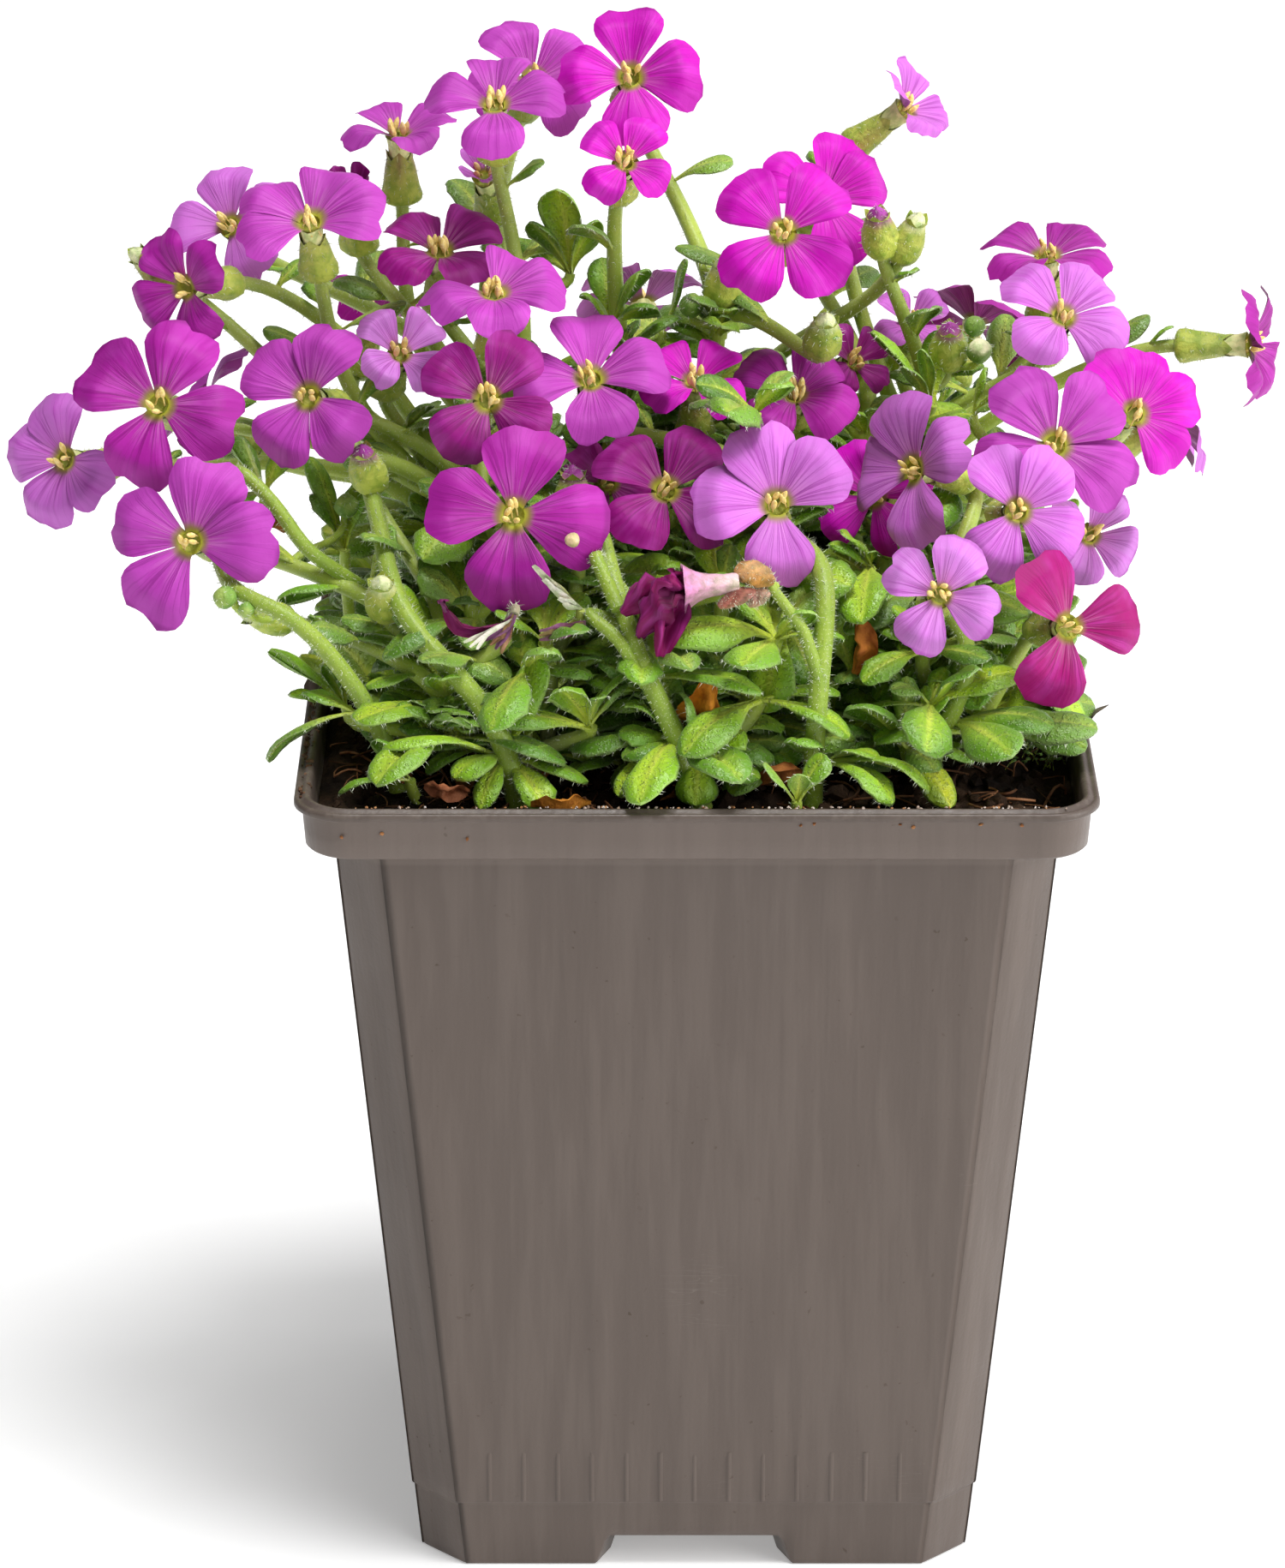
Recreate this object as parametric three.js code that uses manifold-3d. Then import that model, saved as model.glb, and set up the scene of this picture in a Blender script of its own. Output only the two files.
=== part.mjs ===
// A rock cress cushion in full bloom in a small square nursery pot, in millimetres, +Z up, front towards -Y.
import * as THREE from "three";
import { mergeVertices } from "three/addons/utils/BufferGeometryUtils.js";
import Module from "manifold-3d";

const wasm = await Module();
wasm.setup();
const { Manifold, Mesh } = wasm;

// Pot
const POT_HEIGHT = 100;
const LIP_HALF = 45;
const LIP_HEIGHT = 1.2;
const COLLAR_HALF = 44.1;
const COLLAR_HEIGHT = 6.2;
const WALL = 1;
const BODY_TOP_HALF = 40.8;
const BASE_HALF = 32.5;
const CHAMFER = 5.3;
const STEP_HEIGHT = 8.6;
const STEP_DEPTH = 0.25;
const FOOT_WIDTH = 4.2;
const NOTCH_WIDTH = 22;
const NOTCH_HEIGHT = 3.7;
const FLOOR = 4.9;

// Soil and fits
const GAP = 0.3;
const SOIL_TOP = 96.5;
const HOLE_DEPTH = 6;
const TRUNK = 2;
const HOLE = 2.4;
const CROWN = 100;

// Leaves and stems
const BLADE = 0.6;
const STEM = 0.8;
const INNER = 27; // rosettes past this are drawn in over the pot
const LEAF_LENGTH = 13;
const LEAF_WIDTH = 6.4;
const LEAVES = 7;
const CALYX_LENGTH = 7.4;
const CALYX_TOP = 1.1;
const BUD_LENGTH = 7;
const JOINT = 0.55;

// Where the leafy stems root: x, y, rosettes, seed.
const ROOTS = [
  [-20, -27, 14, 5],
  [1, -27, 14, 1],
  [30, -19, 13, 7],
  [-25, 19, 10, 14],
  [-5, 13, 9, 2],
  [20, 29, 9, 13],
];

// Open flowers: x, y, z of the throat, the way it faces as azimuth from the front and rise, radius, cupping.
const BLOOMS = [
  [-7.5, 16, 167.5, 0, 35, 8.8, 0.1],
  [-8, 1, 161.5, 8, 40, 6.4, 0.2],
  [-23, 9, 166, 0, 60, 8.6, 0.1],
  [-19, 28, 164, 12, 40, 8.2, 0.1],
  [-34.5, 19.5, 159.5, -10, 80, 7.6, 0.2],
  [-54, 15, 150, -20, 35, 8, 0.1],
  [-44, 0.5, 154.5, -10, 60, 9.4, 0.1],
  [-40, 16.5, 153, -10, 60, 4.6, 0.8],
  [-58, -3, 148, -35, 10, 7.6, 0.2],
  [-61, -11, 136.5, -10, 25, 9.7, 0],
  [-72.5, -2, 127, -35, 20, 8.3, 0.1],
  [-57, -21, 123.5, -15, 20, 10, 0],
  [-44, -8, 136.5, -22, 25, 8.8, 0.1],
  [-34, 0, 139, 20, 45, 6.8, 0.3],
  [-29.5, 9, 148.5, 0, 68, 8.5, 0.1],
  [-23, -3, 147, 5, 72, 8.8, 0.1],
  [-23.5, -17, 139, 5, 25, 8.4, 0.1],
  [-12, -5, 137.5, 0, 52, 9.5, 0.1],
  [-20.5, -25, 128, 0, 25, 10.2, 0],
  [0, 0, 135.5, 0, 62, 7.5, 0.2],
  [-3.5, -18, 128.5, 8, 45, 8.8, 0.1],
  [9, -23, 128.5, 5, 30, 9.8, 0.1],
  [10, 0.5, 153.5, 0, 32, 8.7, 0],
  [15, 19, 152, 15, 35, 8.6, 0.1],
  [24.5, 24, 161.5, 70, 38, 6.8, 0.4],
  [41.5, 20.5, 144.5, 0, 78, 8.8, 0.1],
  [42.5, 6.5, 141.5, 18, 48, 8.4, 0.1],
  [64.5, 12, 136.5, 75, 5, 8.3, 0.2],
  [50.5, -2, 132.5, 20, 30, 8.3, 0.1],
  [41, -9, 131, 10, 30, 9.6, 0],
  [36, -23.5, 128, 8, 20, 8.4, 0.1],
  [25, -13.5, 129.5, -50, 18, 9.8, 0.1],
  [20.5, -6.5, 124, -12, 20, 7.6, 0.1],
  [27, -33.5, 121.5, 0, 25, 7, 0.1],
  [41.5, -30, 116.5, 20, 20, 8.8, 0],
  [11.5, 2, 133.5, 0, 55, 7.8, 0.1],
  [18.5, 11.5, 134.5, 30, 30, 5.5, 0.3],
  [-5, -34, 120.5, 0, 40, 4, 0.9],
  [-24, -36, 119, -20, 30, 4.2, 0.9],
  [-10, -6, 125.5, 5, 25, 6.4, 0.2],
  [46, 3, 116, 20, 25, 6.6, 0.2],
  [25.5, 20, 136.5, 10, 50, 5.6, 0.3],
  [-24.5, 20, 154.5, -10, 50, 4.6, 0.8],
  [-38, 36, 133, 150, 50, 8.6, 0.1],
  [-6, 46, 131, -175, 42, 9, 0.1],
  [34, 38, 131, 150, 45, 8.4, 0.1],
  [56, 22, 124, 105, 30, 8.6, 0.1],
  [-58, 20, 126, -110, 32, 9, 0.1],
];

// Closed buds: x, y, z of the tip, the way it points as azimuth from the front and rise.
const BUDS = [
  [-64.5, 0, 151.5, -60, 40],
  [21, 9, 154, -20, 70],
  [26, 10, 153, 50, 65],
  [3.5, 6, 149, 10, 70],
  [-38, -12, 132, -20, 65],
  [-35.5, -26, 121, -10, 60],
  [-14, -12, 129.5, 0, 85],
  [15, -2, 144.5, 10, 60],
  [29.5, 6, 141, 0, 65],
  [-51.5, -22, 115.5, -60, 20],
];

const add = (a, b, k = 1) => [a[0] + k * b[0], a[1] + k * b[1], a[2] + k * b[2]];
const dot = (a, b) => a[0] * b[0] + a[1] * b[1] + a[2] * b[2];
const cross = (a, b) => [
  a[1] * b[2] - a[2] * b[1],
  a[2] * b[0] - a[0] * b[2],
  a[0] * b[1] - a[1] * b[0],
];
const size = (a) => Math.sqrt(dot(a, a));
const unit = (a) => add([0, 0, 0], a, 1 / size(a));
const mix = (a, b, t) => a + (b - a) * t;
const rad = (degrees) => (degrees * Math.PI) / 180;

// Seeded draws from 0 to 1.
function draws(seed) {
  let s = seed;
  return () => (s = (s * 16807) % 2147483647) / 2147483647;
}

// A closed surface from its points and faces.
function surface(points, faces) {
  const geometry = new THREE.BufferGeometry();
  geometry.setAttribute("position", new THREE.Float32BufferAttribute(points.flat(), 3));
  geometry.setIndex(faces.flat());
  return geometry;
}

// A surface as a solid that can be joined and cut.
function solidOf(geometry) {
  geometry.deleteAttribute("normal");
  geometry.deleteAttribute("uv");
  const { attributes, index } = mergeVertices(geometry);
  return new Manifold(
    new Mesh({ numProp: 3, vertProperties: attributes.position.array, triVerts: new Uint32Array(index.array) }),
  );
}

function surfaceOf(solid) {
  const { vertProperties, triVerts } = solid.getMesh();
  const geometry = new THREE.BufferGeometry();
  geometry.setAttribute("position", new THREE.BufferAttribute(vertProperties.slice(), 3));
  geometry.setIndex(new THREE.BufferAttribute(triVerts.slice(), 1));
  return geometry;
}

const joined = (surfaces) => Manifold.union(surfaces.map(solidOf));

// A closed surface through rings of equally many points, each anticlockwise seen from the last ring's side.
function loft(rings) {
  const n = rings[0].length;
  const faces = [];
  rings.slice(1).forEach((_, k) => {
    for (let i = 0; i < n; i++) {
      const a = k * n + i;
      const b = k * n + ((i + 1) % n);
      faces.push(a, b, b + n, a, b + n, a + n);
    }
  });
  const last = (rings.length - 1) * n;
  for (let i = 1; i < n - 1; i++) faces.push(0, i + 1, i, last, last + i, last + i + 1);
  return surface(rings.flat(), faces);
}

// A ring of n points round a centre, square to a direction.
function ringAt(centre, along, radius, n) {
  const side = unit(Math.abs(along[2]) > 0.95 ? cross([0, 1, 0], along) : cross([0, 0, 1], along));
  const up = cross(along, side);
  return Array.from({ length: n }, (_, i) => {
    const w = (2 * Math.PI * i) / n;
    return add(add(centre, side, radius * Math.cos(w)), up, radius * Math.sin(w));
  });
}

// An upright six-sided post.
const post = (x, y, low, high, radius) =>
  new THREE.CylinderGeometry(radius, radius, high - low, 6)
    .rotateX(Math.PI / 2)
    .translate(x, y, (low + high) / 2);

// Pot

// A square with cut corners, or corners rounded in steps.
function squareRing(half, corner, z, steps = 1) {
  const ring = [];
  for (let q = 0; q < 4; q++) {
    for (let i = 0; i <= steps; i++) {
      const w = rad(90 * q + (90 * i) / steps);
      const c = half - corner;
      const sx = q === 0 || q === 3 ? 1 : -1;
      const sy = q < 2 ? 1 : -1;
      ring.push([sx * c + corner * Math.cos(w), sy * c + corner * Math.sin(w), z]);
    }
  }
  return ring;
}

const shelf = POT_HEIGHT - COLLAR_HEIGHT;
const bodyHalf = (z) => mix(BASE_HALF, BODY_TOP_HALF, z / shelf);

function makePot() {
  const lowHalf = (z) => bodyHalf(z) - STEP_DEPTH;
  const outer = [
    loft([
      squareRing(lowHalf(0), CHAMFER, 0),
      squareRing(lowHalf(STEP_HEIGHT), CHAMFER, STEP_HEIGHT),
      squareRing(bodyHalf(STEP_HEIGHT), CHAMFER, STEP_HEIGHT + 0.3),
      squareRing(BODY_TOP_HALF, CHAMFER, shelf + 0.4),
    ]),
    loft([
      squareRing(COLLAR_HALF - 0.3, 5.4, shelf, 3),
      squareRing(COLLAR_HALF, 5.4, POT_HEIGHT - 0.4, 3),
    ]),
    loft([
      squareRing(LIP_HALF, 6, POT_HEIGHT - LIP_HEIGHT, 3),
      squareRing(LIP_HALF, 6, POT_HEIGHT, 3),
    ]),
  ];
  const inner = [
    loft([
      squareRing(bodyHalf(FLOOR) - WALL, CHAMFER, FLOOR),
      squareRing(BODY_TOP_HALF - WALL, CHAMFER, shelf + WALL + 0.2),
    ]),
    loft([
      squareRing(COLLAR_HALF - WALL, 4.6, shelf + WALL, 3),
      squareRing(COLLAR_HALF - WALL, 4.6, POT_HEIGHT + 1, 3),
    ]),
    loft([
      squareRing(BASE_HALF - FOOT_WIDTH, CHAMFER, -1),
      squareRing(BASE_HALF - FOOT_WIDTH, CHAMFER, NOTCH_HEIGHT),
    ]),
    post(0, 0, -1, FLOOR + 1, 4.5),
  ];
  for (const [x, y] of [[1, 1], [-1, 1], [-1, -1], [1, -1]]) {
    inner.push(post(17 * x, 17 * y, -1, FLOOR + 1, 3.5));
  }
  const w = NOTCH_WIDTH / 2;
  const half = [[w + 0.6, -1], [w - 0.2, NOTCH_HEIGHT - 1.2], [w - 1.2, NOTCH_HEIGHT]];
  const arch = [...half, ...half.map(([x, z]) => [-x, z]).reverse()];
  const shape = new THREE.Shape(arch.map(([x, z]) => new THREE.Vector2(x, z)));
  for (let q = 0; q < 4; q++) {
    inner.push(
      new THREE.ExtrudeGeometry(shape, { depth: FOOT_WIDTH + 3, bevelEnabled: false })
        .rotateX(Math.PI / 2)
        .translate(0, FOOT_WIDTH + 1 - BASE_HALF, 0)
        .rotateZ((q * Math.PI) / 2),
    );
  }
  return joined(outer).subtract(joined(inner));
}

// Soil

function makeSoil() {
  const random = draws(71);
  const n = 6;
  const reach = 50;
  const points = [];
  for (const low of [false, true]) {
    for (let j = 0; j <= n; j++) {
      for (let i = 0; i <= n; i++) {
        const bump = SOIL_TOP - 0.9 + 1.8 * random();
        points.push([mix(-reach, reach, i / n), mix(-reach, reach, j / n), low ? shelf + WALL + GAP : bump]);
      }
    }
  }
  const at = (i, j, low) => low * (n + 1) * (n + 1) + j * (n + 1) + i;
  const faces = [];
  for (let j = 0; j < n; j++) {
    for (let i = 0; i < n; i++) {
      const [a, b, c, d] = [at(i, j, 0), at(i + 1, j, 0), at(i + 1, j + 1, 0), at(i, j + 1, 0)];
      const under = (n + 1) * (n + 1);
      faces.push(a, b, c, a, c, d, a + under, c + under, b + under, a + under, d + under, c + under);
    }
  }
  for (let i = 0; i < n; i++) {
    for (const [p, q] of [
      [[i, 0], [i + 1, 0]],
      [[n, i], [n, i + 1]],
      [[n - i, n], [n - i - 1, n]],
      [[0, n - i], [0, n - i - 1]],
    ]) {
      const [a, b, c, d] = [at(...p, 0), at(...q, 0), at(...q, 1), at(...p, 1)];
      faces.push(a, c, b, a, d, c);
    }
  }
  const ground = solidOf(surface(points, faces));
  const low = FLOOR + GAP;
  const inset = WALL + GAP;
  const wide = COLLAR_HALF - inset;
  const lower = loft([
    squareRing(bodyHalf(low) - inset, CHAMFER, low),
    squareRing(BODY_TOP_HALF - inset - 0.1, CHAMFER, shelf + inset + 0.4),
  ]);
  const upper = loft([
    squareRing(wide, 4.4, shelf + inset, 3),
    squareRing(wide, 4.4, POT_HEIGHT + 4, 3),
  ]);
  const holes = ROOTS.map(([x, y]) => post(x, y, SOIL_TOP - HOLE_DEPTH, POT_HEIGHT, HOLE));
  return solidOf(upper).intersect(ground).add(solidOf(lower)).subtract(joined(holes));
}

// Plant

// The mat's surface over the pot.
const matHeight = (x, y) => 152 - 0.97 * Math.sqrt(x * x + y * y + 60);

// Which way a flower or bud faces, with the two directions across it.
function facing(azimuth, rise) {
  const [a, e] = [rad(azimuth), rad(rise)];
  const out = [Math.sin(a) * Math.cos(e), -Math.cos(a) * Math.cos(e), Math.sin(e)];
  const side = [Math.cos(a), Math.sin(a), 0];
  return [out, side, cross(out, side)];
}

const heads = BLOOMS.map(([x, y, z, azimuth, rise, radius, cup]) => {
  const [out, side, up] = facing(azimuth, rise);
  return { at: [x, y, z], out, side, up, radius, cup };
});

// Where the flowers' and buds' stems end.
const ends = [
  ...heads.map(({ at, out }) => ({ foot: add(at, out, -CALYX_TOP - CALYX_LENGTH), out, isBud: false })),
  ...BUDS.map(([x, y, z, azimuth, rise]) => {
    const [out] = facing(azimuth, rise);
    return { foot: add([x, y, z], out, -BUD_LENGTH), out, isBud: true };
  }),
];

// Whether a point of one root's leaves and stems stays on its own side of every other root.
function inCell(root, p, margin) {
  const [x, y] = ROOTS[root];
  return ROOTS.every(([u, v], k) => {
    if (k === root) return true;
    const d = Math.sqrt((u - x) ** 2 + (v - y) ** 2);
    return ((p[0] - (x + u) / 2) * (u - x) + (p[1] - (y + v) / 2) * (v - y)) / d < -margin;
  });
}

// Whether a point keeps off the flowers, their calyces, the pot's rim and the soil.
function isClear(p, room, own = -1, open = true) {
  const [x, y, z] = p;
  const wide = Math.max(Math.abs(x), Math.abs(y));
  if (wide < 47 && z < (wide < 41 ? SOIL_TOP + 1 : POT_HEIGHT + 0.7) + room) return false;
  return heads.every((head, k) => {
    const d = add(p, head.at, -1);
    const along = dot(d, head.out);
    const off = size(add(d, head.out, -along));
    if (along > -1 - room && along < 2 + room && off < head.radius + room) return false;
    if (open && along > 0 && along < 6 && off < 0.6 * head.radius) return false;
    return k === own || !(along > -CALYX_LENGTH - 2 && along < 0 && off < 1.9 + room);
  });
}

// Whether a point keeps its distance from what its root has already grown, past a first few millimetres.
const isFree = (taken, p, room, from, skip) =>
  size(add(p, from, -1)) < skip || taken.every((q) => size(add(p, q, -1)) > room);

// A stem's way from its start to an end, bent round what is in between, or null.
function stemPath(root, taken, start, rise, end, into, own) {
  const reach = size(add(end, start, -1));
  for (const room of [2.1, 1.5, 0]) {
    for (const lift of [0.35, 0.2, 0.55]) {
      for (const tail of [0.3, 0.15, 0.5]) {
        for (const [u, v] of [[0, 0], [0.3, 0], [-0.3, 0], [0, 0.3], [0, -0.3]]) {
          const first = add(add(start, rise, lift * reach), [u * reach, v * reach, 0]);
          const second = add(end, into, -tail * reach);
          const curve = new THREE.CubicBezierCurve3(
            ...[start, first, second, end].map((p) => new THREE.Vector3(...p)),
          );
          const way = (t) => curve.getPoint(t).toArray();
          let good = true;
          for (let i = 1; good && i <= 15; i++) {
            const p = way(i / 16);
            good =
              inCell(root, p, STEM + 0.4) &&
              isClear(p, STEM + 0.3, own, false) &&
              isFree(taken, p, room, start, 4);
          }
          if (good) return way;
        }
      }
    }
  }
  return null;
}

// A leaf's two sections past its root: centre, half width and the blade's own directions.
function leafSections(base, heading, rise, droop, roll, length, width) {
  const ahead = [Math.cos(heading), Math.sin(heading), 0];
  const flat = [-Math.sin(heading), Math.cos(heading), 0];
  return [[0, 0.1], [0.66, 0.5], [1, 0]].map(([s, w]) => {
    const e = rise - droop * s;
    const mean = rise - (droop * s) / 2;
    const p = add(base, ahead, length * s * Math.cos(mean));
    p[2] += length * s * Math.sin(mean);
    const along = add([0, 0, Math.sin(e)], ahead, Math.cos(e));
    const side = add(add([0, 0, 0], flat, Math.cos(roll)), cross(along, flat), Math.sin(roll));
    return { p, half: w * width, side, normal: cross(along, side), heading };
  });
}

// The points by which a leaf is kept clear of other things.
function leafPoints([root, wide, tip]) {
  const spots = [];
  for (const t of [0.35, 0.7, 1]) {
    for (const q of t > 0.5 ? [-1, 0, 1] : [0]) {
      spots.push(add(add(root.p, add(wide.p, root.p, -1), t), wide.side, q * t * wide.half));
    }
  }
  return [...spots, add(wide.p, add(tip.p, wide.p, -1), 0.5), tip.p];
}

// A leaf that is raised, then shortened, until it keeps to its own room, or null.
function growLeaf(root, taken, base, steepest, heading, rise, droop, roll, length, width) {
  for (const share of [1, 0.8, 0.62]) {
    for (const more of [0, 0.25, 0.5]) {
      if (more && rise + more > steepest) continue;
      const leaf = leafSections(base, heading, rise + more, droop, roll, length * share, width * share);
      const fits = leafPoints(leaf).every(
        (p) => inCell(root, p, 0.4) && isClear(p, 0.5) && isFree(taken, p, 1.4, base, 2.2),
      );
      if (fits) return leaf;
    }
  }
  return null;
}

// The three outer points of a blade, each as its top and its underside.
function bladeEdge([, wide, tip]) {
  const spots = [add(wide.p, wide.side, -wide.half), tip.p, add(wide.p, wide.side, wide.half)];
  return spots.flatMap((p, i) => {
    const { normal } = i === 1 ? tip : wide;
    return [add(p, normal, BLADE / 2), add(p, normal, -BLADE / 2)];
  });
}

// Faces of a blade from two root points to its edge, which starts at point e. Tops are even, undersides odd.
const bladeFaces = (right, left, e) => [
  [right, e, e + 4],
  [right, e + 4, left],
  [e, e + 2, e + 4],
  [right + 1, e + 5, e + 1],
  [right + 1, left + 1, e + 5],
  [e + 1, e + 5, e + 3],
  ...[[right, e], [e, e + 2], [e + 2, e + 4], [e + 4, left]].flatMap(([p, q]) => [
    [p, p + 1, q + 1],
    [p, q + 1, q],
  ]),
];

// A rosette and its stem as one closed run: a hub with a slot for each leaf, on a tube with as many sides.
function rosetteSurface({ hub, way, first, leaves }) {
  const points = [];
  const faces = [];
  const n = leaves.length;
  const slots = leaves.map((_, j) => rad(first + (360 / n) * (j - 0.45)));
  for (const w of slots) {
    const p = add(hub, [Math.cos(w), Math.sin(w), 0], 1.1);
    points.push(add(p, [0, 0, 1], BLADE / 2), add(p, [0, 0, 1], -BLADE / 2));
  }
  leaves.forEach((leaf, j) => {
    const [right, left] = [2 * j, 2 * ((j + 1) % n)];
    if (leaf) {
      faces.push(...bladeFaces(right, left, points.length));
      points.push(...bladeEdge(leaf));
    } else {
      faces.push([right, right + 1, left + 1], [right, left + 1, left]);
    }
  });
  const centre = points.length;
  points.push(add(hub, [0, 0, 1], 0.9));
  for (let j = 0; j < n; j++) faces.push([centre, 2 * j, 2 * ((j + 1) % n)]);
  let above = slots.map((_, j) => 2 * j + 1);
  for (const t of [0.5, 0]) {
    const along = unit(add(way(t + 0.05), way(Math.max(0, t - 0.05)), -1));
    const ring = slots.map((w) => {
      const d = [Math.cos(w), Math.sin(w), 0];
      return add(way(t), unit(add(d, along, -dot(d, along))), t ? 0.8 : 0.9);
    });
    const start = points.length;
    points.push(...ring);
    for (let j = 0; j < n; j++) {
      const k = (j + 1) % n;
      faces.push([above[j], start + j, start + k], [above[j], start + k, above[k]]);
    }
    above = slots.map((_, j) => start + j);
  }
  for (let j = 1; j < n - 1; j++) faces.push([above[0], above[j + 1], above[j]]);
  return surface(points, faces);
}

// A single leaf with its root sunk in a stem.
function leafSurface(leaf) {
  const [{ p, side, normal }] = leaf;
  const base = [-0.6, 0.6].flatMap((w) => {
    const q = add(p, side, w);
    return [add(q, normal, BLADE / 2), add(q, normal, -BLADE / 2)];
  });
  return surface([...base, ...bladeEdge(leaf)], [...bladeFaces(0, 2, 4), [0, 2, 3], [0, 3, 1]]);
}

function planRosette(root, i, random) {
  const [x, y, rosettes] = ROOTS[root];
  const turn = rad(137.5 * i + 50 * root);
  const far = 20 * Math.sqrt((i + 0.3) / rosettes) + 2 * random();
  const free = [x + far * Math.cos(turn), y + far * Math.sin(turn)];
  const spot = free.map((v) => Math.sign(v) * mix(Math.abs(v), Math.min(Math.abs(v), INNER), 0.7));
  const lean = unit([spot[0] / 60, spot[1] / 60, 1]);
  const start = [x + 3.2 * Math.cos(turn), y + 3.2 * Math.sin(turn), CROWN];
  const height = matHeight(...free) - 4 * random();
  const first = 360 * random();
  const leaves = [];
  for (let j = 0; j < LEAVES; j++) {
    const young = j % 2;
    const heading = rad(first + (360 / LEAVES) * (j + 0.15 * random()));
    const rise = rad(mix(6, 40, young) + 16 * random());
    const droop = rad(10 + 35 * random());
    const roll = rad(-20 + 40 * random());
    const length = LEAF_LENGTH * mix(1, 0.65, young) * (0.9 + 0.25 * random());
    leaves.push([young ? 0.9 : 0.7, heading, rise, droop, roll, length, LEAF_WIDTH * mix(1, 0.7, young)]);
  }
  return { spot, height, lean, start, first, leaves };
}

// The rosettes' hubs and stems, then the flowers' stems, then the leaves, each clear of what came before.
function growRoot(root) {
  const random = draws(1000 + 37 * ROOTS[root][3]);
  const taken = [];
  const claim = (way) => {
    for (let i = 0; i <= 20; i++) taken.push(way(i / 20));
  };
  const rosettes = [];
  for (let i = 0; i < ROOTS[root][2]; i++) {
    const plan = planRosette(root, i, random);
    for (const more of [0, 3, 6, 9, 12, 16, 20]) {
      const hub = [...plan.spot, Math.max(103.5, plan.height - more)];
      if (!inCell(root, hub, 2) || !isClear(hub, 2.2)) continue;
      const way = stemPath(root, taken, plan.start, [0, 0, 1], hub, plan.lean, -1);
      if (!way) continue;
      claim(way);
      rosettes.push({ ...plan, hub, way });
      break;
    }
  }
  const flowers = [];
  ends.forEach(({ foot, out, isBud }, k) => {
    if (!inCell(root, foot, 0)) return;
    const far = ({ hub }) => size(add(hub, foot, -1)) + (hub[2] > foot[2] - 4 ? 30 : 0);
    let way = null;
    for (const { hub, lean } of [...rosettes].sort((a, b) => far(a) - far(b))) {
      way = way || stemPath(root, taken, hub, lean, foot, out, k);
    }
    if (!way) throw new Error("no way for stem " + k);
    claim(way);
    flowers.push({ way, foot, out, isBud });
    if (isBud) taken.push(add(foot, out, 3), add(foot, out, BUD_LENGTH));
  });
  const keep = (leaf) => {
    if (leaf) taken.push(...leafPoints(leaf));
    return leaf;
  };
  for (const rosette of rosettes) {
    const grown = rosette.leaves.map((leaf) => growLeaf(root, taken, rosette.hub, ...leaf));
    rosette.leaves = grown.map(keep);
  }
  for (const flower of flowers) {
    const first = 360 * random();
    const rise = rad(20 + 30 * random());
    const length = 8 + 3 * random();
    flower.leaves = [0, 1, 2].reduce(([leaf], j) => {
      const heading = rad(first + 120 * j);
      return [leaf || growLeaf(root, taken, flower.way(JOINT), 1, heading, rise, 0.4, 0, length, 4.4)];
    }, []);
    keep(flower.leaves[0]);
  }
  return { rosettes, flowers };
}

function makeLeafyStem(root) {
  const [x, y] = ROOTS[root];
  const { rosettes, flowers } = growRoot(root);
  const all = joined([
    post(x, y, SOIL_TOP - HOLE_DEPTH + GAP, CROWN, TRUNK),
    loft([
      ringAt([x, y, CROWN - 1.6], [0, 0, 1], 2.2, 6),
      ringAt([x, y, CROWN + 0.4], [0, 0, 1], 4.6, 6),
      ringAt([x, y, CROWN + 1.2], [0, 0, 1], 4, 6),
    ]),
    ...rosettes.map(rosetteSurface),
    ...flowers.map(flowerStem),
    ...flowers.flatMap(({ leaves }) => leaves.filter((leaf) => leaf).map(leafSurface)),
  ]);
  const [body] = all.simplify(0.005).decompose().sort((a, b) => b.volume() - a.volume());
  return body;
}

// A flower's stem with its calyx or its closed bud as one run.
function flowerStem({ way, foot, out, isBud }) {
  const rings = [0, JOINT].map((t) => {
    const along = unit(add(way(t + 0.02), way(Math.max(0, t - 0.02)), -1));
    return ringAt(way(t), along, mix(0.9, 0.8, t), 4);
  });
  const bud = [[0, 0.9], [0.4, 1.6], [0.8, 1.2], [1, 0.4]];
  const calyx = [[0, 1], [0.6, 1.7], [1, 1.7]];
  for (const [s, r] of isBud ? bud : calyx) {
    rings.push(ringAt(add(foot, out, s * (isBud ? BUD_LENGTH : CALYX_LENGTH)), out, r, 4));
  }
  return loft(rings);
}

// An open flower as one closed plate: a raised throat, then each petal's notch and three outer points.
function makeBloom({ at, out, side, up, radius, cup }) {
  const spot = (reach, turn, z) =>
    add(add(add(at, side, reach * Math.cos(turn)), up, reach * Math.sin(turn)), out, z);
  const top = [spot(0, 0, 1.3)];
  const low = [spot(0, 0, -0.8)];
  const shares = [
    [0.22, -45, 0],
    [0.82, -30, 0.08 + cup],
    [1.04, 0, 0.05 + 1.3 * cup],
    [0.84, 29, 0.08 + cup],
  ];
  for (let q = 0; q < 4; q++) {
    for (const [run, turn, lift] of shares) {
      const reach = radius * run * (1 - 0.5 * cup * run);
      for (const [list, z] of [[top, BLADE / 2], [low, -BLADE / 2]]) {
        list.push(spot(reach, rad(45 + 90 * q + turn), radius * lift + z * (1 + cup)));
      }
    }
  }
  const n = top.length;
  const faces = [];
  for (let i = 1; i < n; i++) {
    const j = i + 1 < n ? i + 1 : 1;
    faces.push(0, i, j, n, j + n, i + n, i, i + n, j + n, i, j + n, j);
  }
  return surface([...top, ...low], faces);
}

// Nodes

const group = new THREE.Group();
group.name = "potted_rock_cress";

function addNode(name, geometry, color, roughness) {
  geometry.computeVertexNormals();
  const mesh = new THREE.Mesh(geometry, new THREE.MeshStandardMaterial({ color, roughness }));
  mesh.name = name;
  group.add(mesh);
}

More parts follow.
